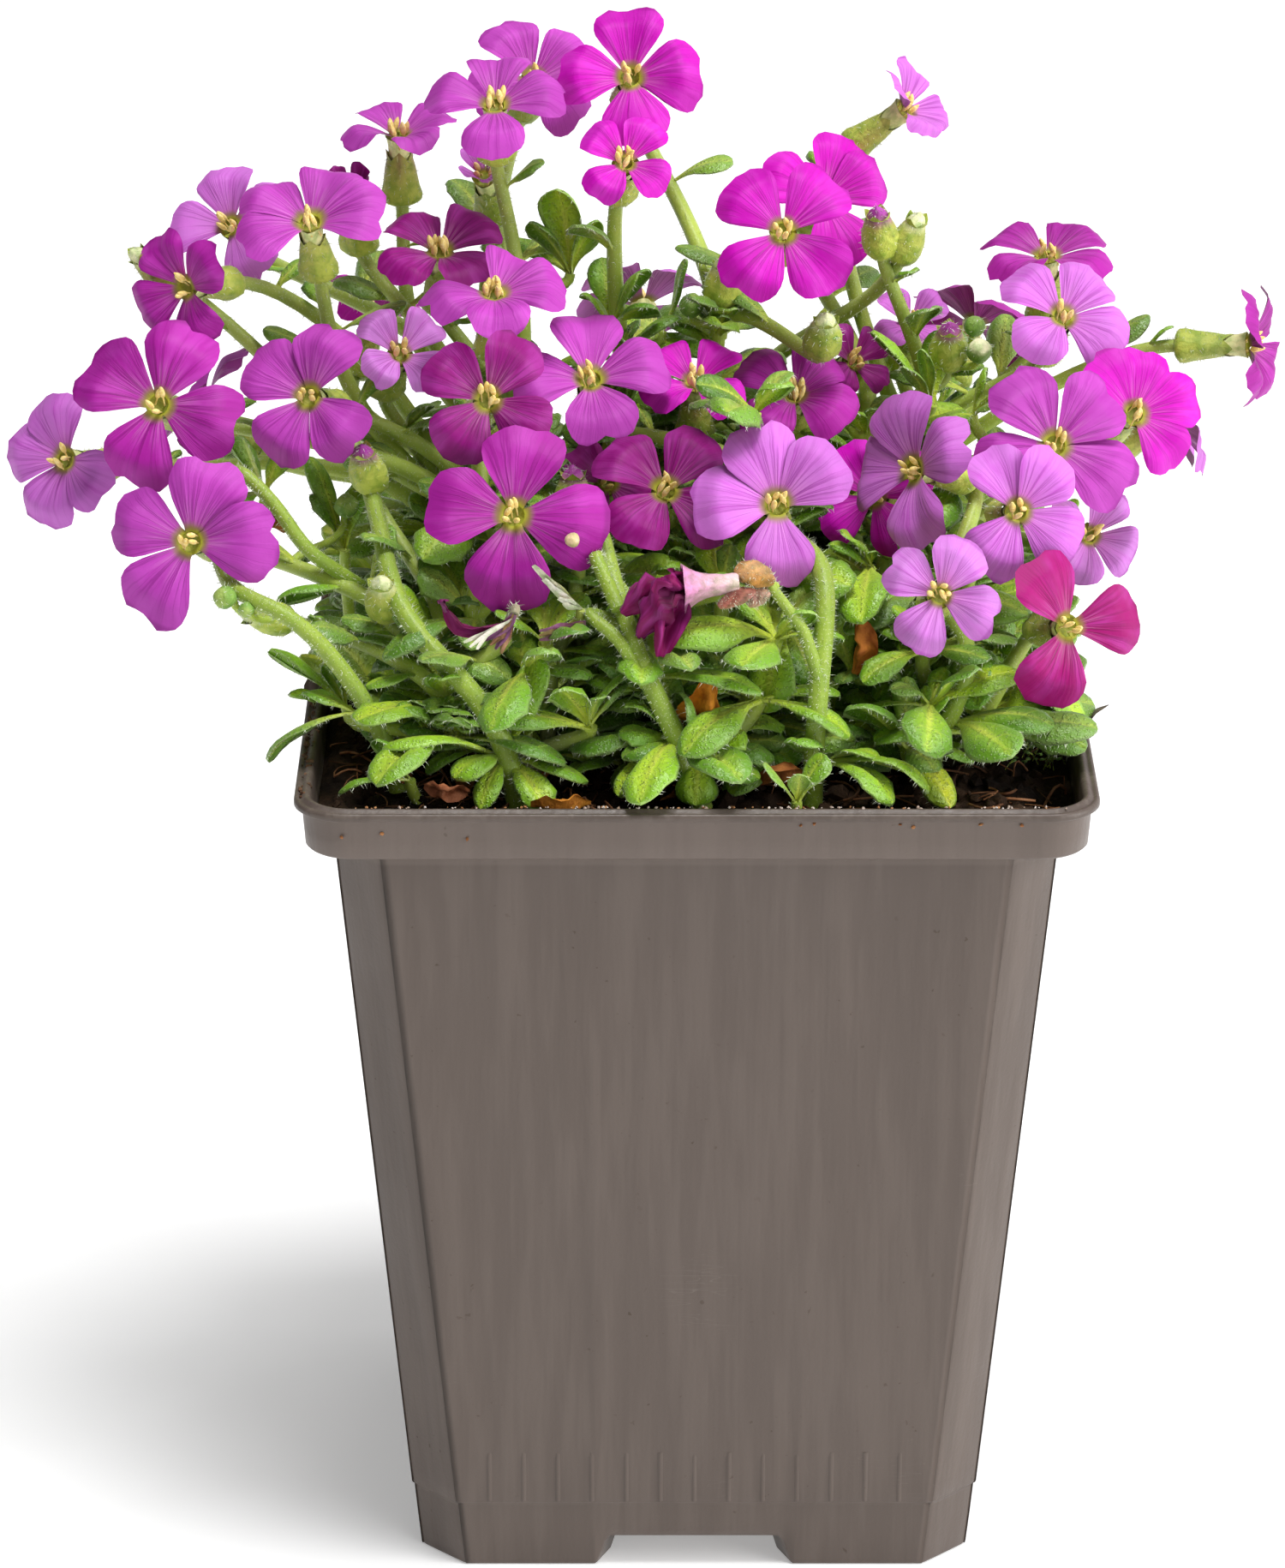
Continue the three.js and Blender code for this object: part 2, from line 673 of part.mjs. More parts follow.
const numbered = (name, k) => name + "_" + String(k + 1).padStart(2, "0");

addNode("pot", surfaceOf(makePot()), 0x73665e, 0.55);
addNode("soil", surfaceOf(makeSoil()), 0x2b1d14, 1);
ROOTS.forEach((_, k) => addNode(numbered("leafy_stem", k), surfaceOf(makeLeafyStem(k)), 0x7ba33c, 0.7));
heads.forEach((head, k) => addNode(numbered("bloom", k), makeBloom(head), 0xa032b4, 0.6));

const box = new THREE.Box3().setFromObject(group);
group.position.set(-(box.min.x + box.max.x) / 2, -(box.min.y + box.max.y) / 2, -box.min.z);

export default group;
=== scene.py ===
import math

import bpy
import numpy as np
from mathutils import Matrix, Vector
from mathutils.geometry import delaunay_2d_cdt


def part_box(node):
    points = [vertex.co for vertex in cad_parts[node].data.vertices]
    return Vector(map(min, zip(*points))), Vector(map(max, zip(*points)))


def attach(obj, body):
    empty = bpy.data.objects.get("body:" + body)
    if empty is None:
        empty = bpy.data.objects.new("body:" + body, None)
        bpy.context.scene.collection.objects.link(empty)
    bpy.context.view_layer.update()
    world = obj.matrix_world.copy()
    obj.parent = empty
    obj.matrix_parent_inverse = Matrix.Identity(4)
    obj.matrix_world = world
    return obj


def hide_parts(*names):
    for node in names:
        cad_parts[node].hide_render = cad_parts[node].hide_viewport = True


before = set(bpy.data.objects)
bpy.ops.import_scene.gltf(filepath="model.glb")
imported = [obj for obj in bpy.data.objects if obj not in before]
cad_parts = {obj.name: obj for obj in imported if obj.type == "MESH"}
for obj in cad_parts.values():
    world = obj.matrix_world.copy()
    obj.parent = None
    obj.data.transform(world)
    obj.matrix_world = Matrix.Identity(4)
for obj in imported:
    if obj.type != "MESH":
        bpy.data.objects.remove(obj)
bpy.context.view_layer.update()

# Lengths are in millimetres on the pot's own axis, as in the part's source, until a mesh is made.
low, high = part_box("pot")
SHIFT = np.array([(low.x + high.x) * 500, (low.y + high.y) * 500, 0.0])

POT_HEIGHT, LIP_HALF, COLLAR_HALF, COLLAR_HEIGHT, WALL = 100, 45, 44.1, 6.2, 1
BODY_TOP_HALF, BASE_HALF, CHAMFER, STEP_HEIGHT, STEP_DEPTH = 40.8, 32.5, 5.3, 8.6, 0.25
FOOT_WIDTH, NOTCH_WIDTH, NOTCH_HEIGHT, FLOOR = 4.2, 22, 3.7, 4.9
GAP, SOIL_TOP, CROWN = 0.3, 96.5, 100
STEM, INNER, LEAF_LENGTH, LEAF_WIDTH, LEAVES = 0.8, 27, 13, 6.4, 7
CALYX_LENGTH, CALYX_TOP, BUD_LENGTH, JOINT = 7.4, 1.1, 7, 0.55
SHELF = POT_HEIGHT - COLLAR_HEIGHT
# Half the width kept clear round the rim, and half the width of the pot's mouth.
RIM_REACH, MOUTH = 47, 41
# A leaf nearer the rim than this lies over the pot, and a leaf as low as this could touch it.
MAT_HALF, MAT_LOW = 45.5, 122
# The angle from one leaf to the next round a stem, in degrees.
SPIRAL = 137.5
UP = np.array([0, 0, 1.0])
# From the plant towards the photograph's viewpoint.
FORWARD = np.array([0, -0.934, 0.358])

# Each root: x, y, how many rosettes it carries, and its seed.
ROOTS = [
    (-20, -27, 14, 5), (1, -27, 14, 1), (30, -19, 13, 7), (-25, 19, 10, 14), (-5, 13, 9, 2), (20, 29, 9, 13),
]

# Each flower: x, y, z of its throat, azimuth and rise of its face, radius, cupping, tint.
BLOOMS = [
    (-7.5, 16, 167.5, 0, 35, 8.8, 0.1, "M"), (-8, 1, 161.5, 8, 40, 6.4, 0.2, "M"),
    (-23, 9, 166, 0, 60, 8.6, 0.1, "P"), (-19, 28, 164, 12, 40, 8.2, 0.1, "P"),
    (-34.5, 19.5, 159.5, -10, 80, 7.6, 0.2, "P"), (-54, 15, 150, -20, 35, 8, 0.1, "L"),
    (-44, 0.5, 154.5, -10, 60, 9.4, 0.1, "P"), (-40, 16.5, 153, -10, 60, 4.6, 0.8, "D"),
    (-58, -3, 148, -35, 10, 7.6, 0.2, "V"), (-61, -11, 136.5, -10, 25, 9.7, 0, "V"),
    (-72.5, -2, 127, -35, 20, 8.3, 0.1, "L"), (-57, -21, 123.5, -15, 20, 10, 0, "P"),
    (-44, -8, 136.5, -22, 25, 8.8, 0.1, "P"), (-34, 0, 139, 20, 45, 6.8, 0.3, "B"),
    (-29.5, 9, 148.5, 0, 68, 8.5, 0.1, "D"), (-23, -3, 147, 5, 72, 8.8, 0.1, "P"),
    (-23.5, -17, 139, 5, 25, 8.4, 0.1, "D"), (-12, -5, 137.5, 0, 52, 9.5, 0.1, "P"),
    (-20.5, -25, 128, 0, 25, 10.2, 0, "V"), (0, 0, 135.5, 0, 62, 7.5, 0.2, "M"),
    (-3.5, -18, 128.5, 8, 45, 8.8, 0.1, "D"), (9, -23, 128.5, 5, 30, 9.8, 0.1, "L"),
    (10, 0.5, 153.5, 0, 32, 8.7, 0, "M"), (15, 19, 152, 15, 35, 8.6, 0.1, "M"),
    (24.5, 24, 161.5, 70, 38, 6.8, 0.4, "L"), (41.5, 20.5, 144.5, 0, 78, 8.8, 0.1, "V"),
    (42.5, 6.5, 141.5, 18, 48, 8.4, 0.1, "L"), (64.5, 12, 136.5, 75, 5, 8.3, 0.2, "V"),
    (50.5, -2, 132.5, 20, 30, 8.3, 0.1, "M"), (41, -9, 131, 10, 30, 9.6, 0, "P"),
    (36, -23.5, 128, 8, 20, 8.4, 0.1, "L"), (25, -13.5, 129.5, -50, 18, 9.8, 0.1, "L"),
    (20.5, -6.5, 124, -12, 20, 7.6, 0.1, "M"), (27, -33.5, 121.5, 0, 25, 7, 0.1, "B"),
    (41.5, -30, 116.5, 20, 20, 8.8, 0, "C"), (11.5, 2, 133.5, 0, 55, 7.8, 0.1, "V"),
    (18.5, 11.5, 134.5, 30, 30, 5.5, 0.3, "D"), (-5, -34, 120.5, 0, 40, 4, 0.9, "W"),
    (-24, -36, 119, -20, 30, 4.2, 0.9, "W"), (-10, -6, 125.5, 5, 25, 6.4, 0.2, "D"),
    (46, 3, 116, 20, 25, 6.6, 0.2, "B"), (25.5, 20, 136.5, 10, 50, 5.6, 0.3, "L"),
    (-24.5, 20, 154.5, -10, 50, 4.6, 0.8, "L"), (-38, 36, 133, 150, 50, 8.6, 0.1, "M"),
    (-6, 46, 131, -175, 42, 9, 0.1, "L"), (34, 38, 131, 150, 45, 8.4, 0.1, "V"),
    (56, 22, 124, 105, 30, 8.6, 0.1, "L"), (-58, 20, 126, -110, 32, 9, 0.1, "P"),
]
TINTS = {
    "M": (0.53, 0.001, 0.42), "P": (0.42, 0.044, 0.39), "L": (0.53, 0.145, 0.56), "D": (0.24, 0.001, 0.16),
    "V": (0.355, 0.012, 0.29), "B": (0.54, 0.19, 0.58), "C": (0.33, 0, 0.14), "W": (0.17, 0.001, 0.065),
}

# Where the petals of some flowers point, in degrees from the flower's own right. The others stand crosswise.
TURNS = {
    0: (92, 2, -84, 178), 2: (88, 176, 268, 10), 3: (112, 30, -50, 195), 5: (108, 190, -45, 20),
    6: (75, 8, 150, 215), 9: (71, 153, -15, -106), 10: (115, 182, -17, -98), 11: (77, 5, -120, 165),
    12: (77, 155, -35, -112), 15: (60, 0, 200, -90), 17: (95, 185, 13, -78), 18: (82, 170, -10, -96),
    21: (106, 177, 37, -92), 22: (135, 48, -48, -128), 23: (150, 60, 20, -80), 26: (130, 45, -40, -140),
    28: (120, 70, -60, 10), 29: (120, 40, -35, 200), 30: (115, 48, -35, -125), 31: (118, 35, -55, 200),
    33: (147, 62, -23, -119), 34: (114, 2, -118),
}

# Closed buds: x, y, z of the tip, azimuth and rise.
BUDS = [
    (-64.5, 0, 151.5, -60, 40), (21, 9, 154, -20, 70), (26, 10, 153, 50, 65), (3.5, 6, 149, 10, 70),
    (-38, -12, 132, -20, 65), (-35.5, -26, 121, -10, 60), (-14, -12, 129.5, 0, 85), (15, -2, 144.5, 10, 60),
    (29.5, 6, 141, 0, 65), (-51.5, -22, 115.5, -60, 20),
]

# Leafy side shoots: the hub, then each leaf's heading, rise, droop, roll, length, width and kind.
SHOOTS = [
    ((-14.5, 16, 144), (-122, 82, 8, 5, 11.4, 5.4, "B"), (-168, 64, 20, 30, 8.2, 3.8, "D"),
     (-32, 72, 20, -30, 8.1, 3.4, "M"), (149, 32, 20, 0, 8.4, 3.6, "M")),
    ((-9.6, 12, 139.1), (107, 61, 5, 0, 8.1, 4.2, "M"), (-56, 64, 15, 50, 8.7, 3, "M"),
     (0, 71, 25, -30, 8, 3.6, "M"), (-38, 38, 20, -20, 7.4, 3.8, "M"), (151, 41, 10, 20, 5.1, 4.6, "B")),
    ((-3.8, 14, 137.6), (0, 63, -25, 10, 9.1, 2.8, "D")),
    ((27.6, 6, 131.1), (180, 59, 10, 15, 11.5, 5.4, "B"), (77, 65, 5, 0, 9, 4, "M"),
     (-131, 55, 10, 10, 8.2, 2.6, "G"), (-121, 73, 0, 0, 8, 2.4, "G")),
    ((32.1, 2, 131.2), (0, 83, 10, 0, 5.9, 4, "B"), (-11, 57, 50, -20, 12, 4.6, "B"),
     (-133, 10, 30, 0, 4.1, 3.4, "M"), (-56, 34, 10, 0, 5.6, 2.6, "G")),
    ((-49.6, -3, 123.5), (-128, 57, -15, -10, 8.7, 4, "M"), (-144, 3, 25, 0, 5.2, 3.4, "M"),
     (57, 52, 0, 0, 5.8, 3.2, "M")),
    ((-40.6, -2, 116), (-154, 12, 20, 35, 6.9, 7, "D"), (151, 63, 10, 30, 7.6, 3.4, "D"),
     (133, 67, 10, 0, 11.7, 3, "M"), (48, 76, 10, 0, 8.4, 4, "M")),
    ((-37.4, -16, 115.9), (-169, 12, 25, 25, 10.6, 4.8, "M"), (41, 68, 0, -20, 8, 3.6, "M")),
    ((-39.8, -22, 104.1), (-166, 50, 10, 15, 11.6, 5, "B"), (-146, 32, 15, 0, 7.9, 3.8, "B"),
     (-114, 80, 0, 0, 6.1, 2.4, "G"), (167, -12, 60, 10, 12.3, 4.6, "G"), (-137, 63, 0, 0, 6.5, 2.6, "M")),
    ((-29.4, -26, 109.5), (-159, 8, 20, 20, 8.4, 4.8, "B"), (-156, 49, 10, 10, 6.7, 4, "B"),
     (136, 59, 0, 20, 11.1, 5.6, "M"), (149, 25, 30, 20, 12, 5.4, "D"), (-25, 51, 90, 10, 9.6, 5, "G"),
     (28, 42, 40, 0, 4.6, 4.2, "G"), (131, 3, 20, 0, 10.7, 5, "D")),
    ((-21.5, -33, 102.1), (-164, 28, 35, 20, 14.4, 6.2, "B"), (39, 72, 10, 0, 12.2, 6, "B"),
     (46, 42, 30, -20, 11, 5.4, "D"), (-18, 8, 35, -10, 10.1, 5, "M"), (-138, 21, 50, 20, 7.6, 5.6, "B"),
     (-55, -6, 40, 0, 9.5, 4.4, "B"), (-111, 5, 60, 0, 8.3, 3.4, "B")),
    ((-32.2, -34, 99.8), (-162, 12, 30, 20, 10, 5.4, "M"), (-150, 61, 10, 20, 7.1, 3.6, "D")),
    ((-2.2, -34, 104.3), (180, 22, 20, 0, 6.7, 4.6, "M"), (-143, -2, 55, 20, 9.5, 6.6, "B"),
     (166, 10, 35, 15, 12.6, 6.4, "D"), (116, 65, 10, 0, 9, 5, "D"), (-154, 14, 40, 0, 6.9, 5.4, "D")),
    ((0.2, -35, 103), (180, 80, 5, 10, 7.8, 5.4, "G"), (-40, 65, 10, -10, 6.1, 3.8, "G"),
     (-23, 9, 40, -10, 7.7, 5.6, "M"), (21, 37, 25, 0, 6, 6.4, "B"), (-94, -14, 50, 0, 6.4, 5, "M"),
     (7, 11, 25, 0, 8.7, 5.4, "D")),
    ((11.1, -41, 99.8), (-119, 12, 25, -20, 7.4, 4.8, "G"), (-165, 53, 0, 0, 6.3, 3, "G"),
     (-81, 64, 0, 0, 4.6, 2.6, "G"), (18, 64, 10, 0, 6.2, 4.4, "M"), (-21, 24, 30, 0, 5.6, 3.2, "D")),
    ((10, -24, 114.8), (-108, -30, 35, 10, 11, 6.2, "B"), (-42, -40, 30, 0, 7.7, 5.6, "D"),
     (-157, 11, 10, 0, 5.1, 3.4, "G")),
    ((14.3, -34, 102), (-35, 28, 20, -15, 7.4, 4.6, "B"), (-42, 13, 50, -20, 10.6, 6.4, "B"),
     (-23, 15, 40, -20, 13, 6.6, "B"), (-141, 50, 20, 20, 6.2, 5.2, "M")),
    ((23.5, -30, 102), (-154, 56, 25, 20, 9.5, 6.4, "M"), (-57, 15, 40, -10, 6, 4.8, "G"),
     (-55, -5, 45, -10, 9.7, 5, "Y"), (86, 76, 0, 0, 8.2, 3.2, "G"), (-21, 15, 35, -10, 8.3, 3.6, "M"),
     (41, 66, 0, 0, 7.5, 3.6, "B"), (0, 59, 10, 0, 7.9, 3.4, "B")),
    ((37, -18, 106.2), (-116, -16, 40, 10, 9.6, 7.4, "B"), (-35, -4, 45, -20, 9.7, 7, "B"),
     (-162, 32, 20, 10, 7, 5.6, "M"), (82, 31, 0, 0, 7, 5.6, "M"), (-65, 30, 40, 0, 6.7, 5.6, "M")),
    ((17.8, -20, 107.8), (123, 52, 5, 0, 7.4, 6, "M"), (-49, 39, 20, -20, 7.6, 4.8, "M"),
     (-137, -2, 40, 10, 9.5, 4.6, "G"), (-55, 30, 40, -20, 8.7, 5, "D"), (-100, 15, 10, 0, 7.2, 2.8, "G")),
    ((1.5, -24, 111.5), (-118, 47, 0, 0, 5, 2.4, "G"), (-44, 44, 0, 0, 4, 2.6, "G"),
     (-76, 14, 40, 0, 6.2, 3.6, "G"), (-136, 11, 40, 20, 8.7, 5, "B"), (52, 48, 10, 0, 7, 4.4, "M"),
     (107, 57, 5, 0, 7.1, 4.2, "M")),
    ((33.1, -14, 114.1), (-71, -27, 30, 0, 5.7, 5, "D"), (0, 22, 20, 0, 5, 5.4, "M"),
     (-153, -7, 20, 0, 4.7, 4.6, "M")),
    ((-20.7, -20, 114.2), (-165, 29, 20, 20, 8.4, 4.6, "D"), (153, 56, 10, 0, 7, 4.4, "D"),
     (0, 42, 20, 0, 5.8, 4.6, "M"), (-68, -19, 40, 0, 6.9, 5.4, "D"), (-24, 11, 30, 0, 9.7, 5, "D")),
    ((-38.4, -30, 106.4), (178, -6, 48, 15, 11.8, 4.2, "G"), (150, 20, 20, 0, 7, 3.4, "M")),
    ((6.8, 0, 123.9), (180, 69, 10, 0, 6.9, 5, "D"), (67, 66, 0, 0, 16.1, 3.4, "M"),
     (36, 51, 0, 0, 16.2, 4, "M"), (90, 72, 0, 0, 12.9, 3, "D")),
]
# The flowers that are withered.
WILTED = (37, 38)

# The thick stalks in front: points from the top down, then the radius at the top and at the foot.
STALKS = [
    ([(-11.9, -17, 129.6), (-10.6, -21.5, 124.4), (-9.3, -27.5, 120.9), (-6.7, -34, 114.6),
      (-4, -35.5, 109), (-1, -36, 103.6), (0.6, -36, 97)], 0.75, 1.3),
    ([(14.3, -26, 122.9), (14.6, -30, 119.8), (14, -33, 114.7), (13.5, -34.5, 109.2), (13.1, -35, 102.7),
      (13, -35, 97)], 1.1, 1.2),
    ([(30.4, -26, 114.5), (30.7, -28, 111.9), (30, -29, 108), (27.7, -29, 103.8), (26, -29, 97)], 0.95, 1),
    ([(-52.6, -24.5, 118.6), (-47.6, -27, 118.1), (-43.4, -28, 115.5), (-39.8, -29, 111.2),
      (-37.1, -30, 107.3), (-35, -30, 103.6), (-33.6, -30, 97)], 0.8, 1.15),
    ([(-53, -12, 130.5), (-49.9, -14, 128), (-46.7, -16, 125.1), (-44.8, -17, 121.4),
      (-37.4, -16, 115.9)], 0.75, 0.85),
    ([(-37, -9.2, 125.7), (-33.8, -27, 117.7), (-29.6, -30, 113.4), (-25.5, -32, 110.3),
      (-21.9, -34, 105.9), (-20.3, -35, 101.2), (-20, -35, 97)], 0.9, 1.35),
    ([(8.2, -32.4, 122.2), (9.7, -33.5, 120.5), (11.9, -34, 117.6), (13.6, -34, 112)], 0.6, 0.8),
    ([(-12.9, -30.4, 118.7), (-8.7, -33, 116.3), (-5.6, -35, 111.4)], 0.7, 0.8),
    ([(-11.8, -26, 124.5), (-8.7, -31, 119)], 0.7, 0.9),
]

# Round buds: foot, direction, radius and the colour of the tip.
ROUND_BUDS = [
    ((30.3, 8.5, 136.9), (0, -0.3, 1), 1.35, (0.24, 0.4, 0.07)),
    ((32.8, 6.4, 136.5), (0.1, -0.6, 1), 1.45, (0.82, 0.8, 0.5)),
    ((32.3, 9.4, 138.4), (0.2, 0, 1), 1.2, (0.26, 0.4, 0.08)),
    ((-0.4, 10.4, 140.6), (0, -0.4, 1), 1.4, (0.24, 0.38, 0.07)),
    ((-40.5, -1.6, 120.4), (0.2, -0.7, 1), 1.4, (0.34, 0.46, 0.1)),
    ((-38.6, -2.2, 126), (-0.3, -0.3, 1), 1.8, (0.72, 0.76, 0.42)),
    ((-52.2, -24.6, 118.2), (-0.6, -0.7, 0.2), 1.3, (0.34, 0.46, 0.1)),
    ((-50.4, -25.6, 117.6), (-0.2, -0.9, -0.3), 0.9, (0.34, 0.46, 0.1)),
]


def unit(a):
    return a / np.linalg.norm(a)


def units(a):
    """Each row at length one."""
    return a / np.maximum(np.linalg.norm(a, axis=-1, keepdims=True), 1e-6)


def mix(a, b, t):
    return a + (b - a) * t


def graded(first, last, count):
    """Colours that pass evenly from one to another."""
    return mix(np.array(first), np.array(last), np.linspace(0, 1, count)[:, None])


def smooth(a, b, x):
    t = np.clip((x - a) / (b - a), 0, 1)
    return t * t * (3 - 2 * t)


def turned(points, angle):
    """Points turned about the upright axis."""
    c, s = math.cos(angle), math.sin(angle)
    x, y = points[:, 0], points[:, 1]
    return np.column_stack([x * c - y * s, x * s + y * c, *points[:, 2:].T])


def circle(sides):
    """The angles of even steps round a circle."""
    return np.arange(sides) * 2 * np.pi / sides


def pick(choices, draw):
    """One of the choices, by a draw from 0 to 1."""
    return choices[int(len(choices) * draw) % len(choices)]


def softened(line, times):
    """A line with its corners worn off, its ends kept."""
    for _ in range(times):
        line[1:-1] = (line[:-2] + 2 * line[1:-1] + line[2:]) / 4
    return line


def draws(seed, skip=0):
    """Seeded draws from 0 to 1, after the first few."""
    state = [seed]

    def draw():
        state[0] = state[0] * 16807 % 2147483647
        return state[0] / 2147483647

    for _ in range(skip):
        draw()
    return draw


# The plant's rule, as in the part's source


def mat_height(x, y):
    return 152 - 0.97 * math.sqrt(x * x + y * y + 60)


def facing(azimuth, rise):
    a, e = math.radians(azimuth), math.radians(rise)
    out = np.array([math.sin(a) * math.cos(e), -math.cos(a) * math.cos(e), math.sin(e)])
    side = np.array([math.cos(a), math.sin(a), 0.0])
    return out, side, np.cross(out, side)


heads = []
for x, y, z, azimuth, rise, radius, cup, tint in BLOOMS:
    out, side, up = facing(azimuth, rise)
    at = np.array([x, y, z], float)
    heads.append(dict(at=at, out=out, side=side, up=up, radius=radius, cup=cup, tint=tint))
HEAD_AT = np.array([h["at"] for h in heads])
HEAD_OUT = np.array([h["out"] for h in heads])
HEAD_RADIUS = np.array([h["radius"] for h in heads])

ends = [(h["at"] - h["out"] * (CALYX_TOP + CALYX_LENGTH), h["out"], False) for h in heads]
for x, y, z, azimuth, rise in BUDS:
    out = facing(azimuth, rise)[0]
    ends.append((np.array([x, y, z]) - BUD_LENGTH * out, out, True))


def in_cell(root, p, margin):
    p = np.atleast_2d(p)
    x, y = ROOTS[root][:2]
    good = np.ones(len(p), bool)
    for k, (u, v, _, _) in enumerate(ROOTS):
        if k != root:
            d = math.hypot(u - x, v - y)
            good &= ((p[:, 0] - (x + u) / 2) * (u - x) + (p[:, 1] - (y + v) / 2) * (v - y)) / d < -margin
    return good


def is_clear(p, room, own=-1, open_too=True):
    p = np.atleast_2d(p)
    wide = np.maximum(np.abs(p[:, 0]), np.abs(p[:, 1]))
    good = ~((wide < RIM_REACH) & (p[:, 2] < np.where(wide < MOUTH, SOIL_TOP + 1, POT_HEIGHT + 0.7) + room))
    d = p[:, None] - HEAD_AT[None]
    along = (d * HEAD_OUT[None]).sum(-1)
    off = np.linalg.norm(d - along[..., None] * HEAD_OUT[None], axis=-1)
    bad = (along > -1 - room) & (along < 2 + room) & (off < HEAD_RADIUS + room)
    if open_too:
        bad |= (along > 0) & (along < 6) & (off < 0.6 * HEAD_RADIUS)
    neck = (along > -CALYX_LENGTH - 2) & (along < 0) & (off < 1.9 + room)
    if 0 <= own < len(heads):
        neck[:, own] = False
    return good & ~(bad | neck).any(1)


def bezier(a, b, c, d, t):
    t = np.asarray(t, float)[..., None]
    s = 1 - t
    return s * s * s * a + 3 * s * s * t * b + 3 * s * t * t * c + t * t * t * d


def is_free(taken, p, room, start, skip):
    p = np.atleast_2d(p)
    near = np.linalg.norm(p - start, axis=1) < skip
    if not len(taken):
        return near | True
    apart = np.linalg.norm(p[:, None] - taken[None], axis=-1).min(1) > room
    return near | apart


def stem_path(root, taken, start, rise, end, into, own):
    reach = np.linalg.norm(end - start)
    samples = np.arange(1, 16) / 16
    for room in (2.1, 1.5, 0):
        for lift in (0.35, 0.2, 0.55):
            for tail in (0.3, 0.15, 0.5):
                for u, v in ((0, 0), (0.3, 0), (-0.3, 0), (0, 0.3), (0, -0.3)):
                    first = start + lift * reach * rise + np.array([u * reach, v * reach, 0])
                    second = end - tail * reach * into
                    p = bezier(start, first, second, end, samples)
                    if (
                        in_cell(root, p, STEM + 0.4).all()
                        and is_clear(p, STEM + 0.3, own, False).all()
                        and is_free(taken, p, room, start, 4).all()
                    ):
                        return start, first, second, end
    return None


# A leaf: where it starts, heading, rise, droop, roll, length, width.
def leaf_frame(leaf, s):
    base, heading, rise, droop, roll, length, width = leaf
    s = np.asarray(s, float)[..., None]
    ahead = np.array([math.cos(heading), math.sin(heading), 0])
    flat = np.array([-math.sin(heading), math.cos(heading), 0])
    e, mean = rise - droop * s, rise - droop * s / 2
    p = base + length * s * (np.cos(mean) * ahead + np.sin(mean) * UP)
    along = np.cos(e) * ahead + np.sin(e) * UP
    side = math.cos(roll) * flat + math.sin(roll) * np.cross(along, flat)
    return p, along, side, np.cross(along, side)


def leaf_points(leaf):
    p, _, side, _ = leaf_frame(leaf, [0, 0.66, 1])
    half = 0.5 * leaf[6]
    spots = []
    for t in (0.35, 0.7, 1):
        for q in (-1, 0, 1) if t > 0.5 else (0,):
            spots.append(mix(p[0], p[1], t) + q * t * half * side[1])
    return np.array([*spots, mix(p[1], p[2], 0.5), p[2]])


def grow_leaf(root, taken, base, steepest, heading, rise, droop, roll, length, width):
    for share in (1, 0.8, 0.62):
        for more in (0, 0.25, 0.5):
            if more and rise + more > steepest:
                continue
            leaf = (base, heading, rise + more, droop, roll, length * share, width * share)
            p = leaf_points(leaf)
            if (
                in_cell(root, p, 0.4).all()
                and is_clear(p, 0.5).all()
                and is_free(taken, p, 1.4, base, 2.2).all()
            ):
                return leaf
    return None


def plan_rosette(root, i, random):
    x, y, rosette_count, _ = ROOTS[root]
    turn = math.radians(SPIRAL * i + 50 * root)
    far = 20 * math.sqrt((i + 0.3) / rosette_count) + 2 * random()
    free = np.array([x + far * math.cos(turn), y + far * math.sin(turn)])
    spot = np.sign(free) * mix(np.abs(free), np.minimum(np.abs(free), INNER), 0.7)
    lean = unit(np.array([spot[0] / 60, spot[1] / 60, 1]))
    start = np.array([x + 3.2 * math.cos(turn), y + 3.2 * math.sin(turn), CROWN])
    height, first = mat_height(*free) - 4 * random(), 360 * random()
    plans = []
    for j in range(LEAVES):
        young = j % 2
        heading = math.radians(first + 360 / LEAVES * (j + 0.15 * random()))
        rise = math.radians(mix(6, 40, young) + 16 * random())
        droop, roll = math.radians(10 + 35 * random()), math.radians(-20 + 40 * random())
        length = LEAF_LENGTH * mix(1, 0.65, young) * (0.9 + 0.25 * random())
        width = LEAF_WIDTH * mix(1, 0.7, young)
        plans.append((0.9 if young else 0.7, heading, rise, droop, roll, length, width))
    return dict(spot=spot, lean=lean, start=start, height=height, first=first, plans=plans)


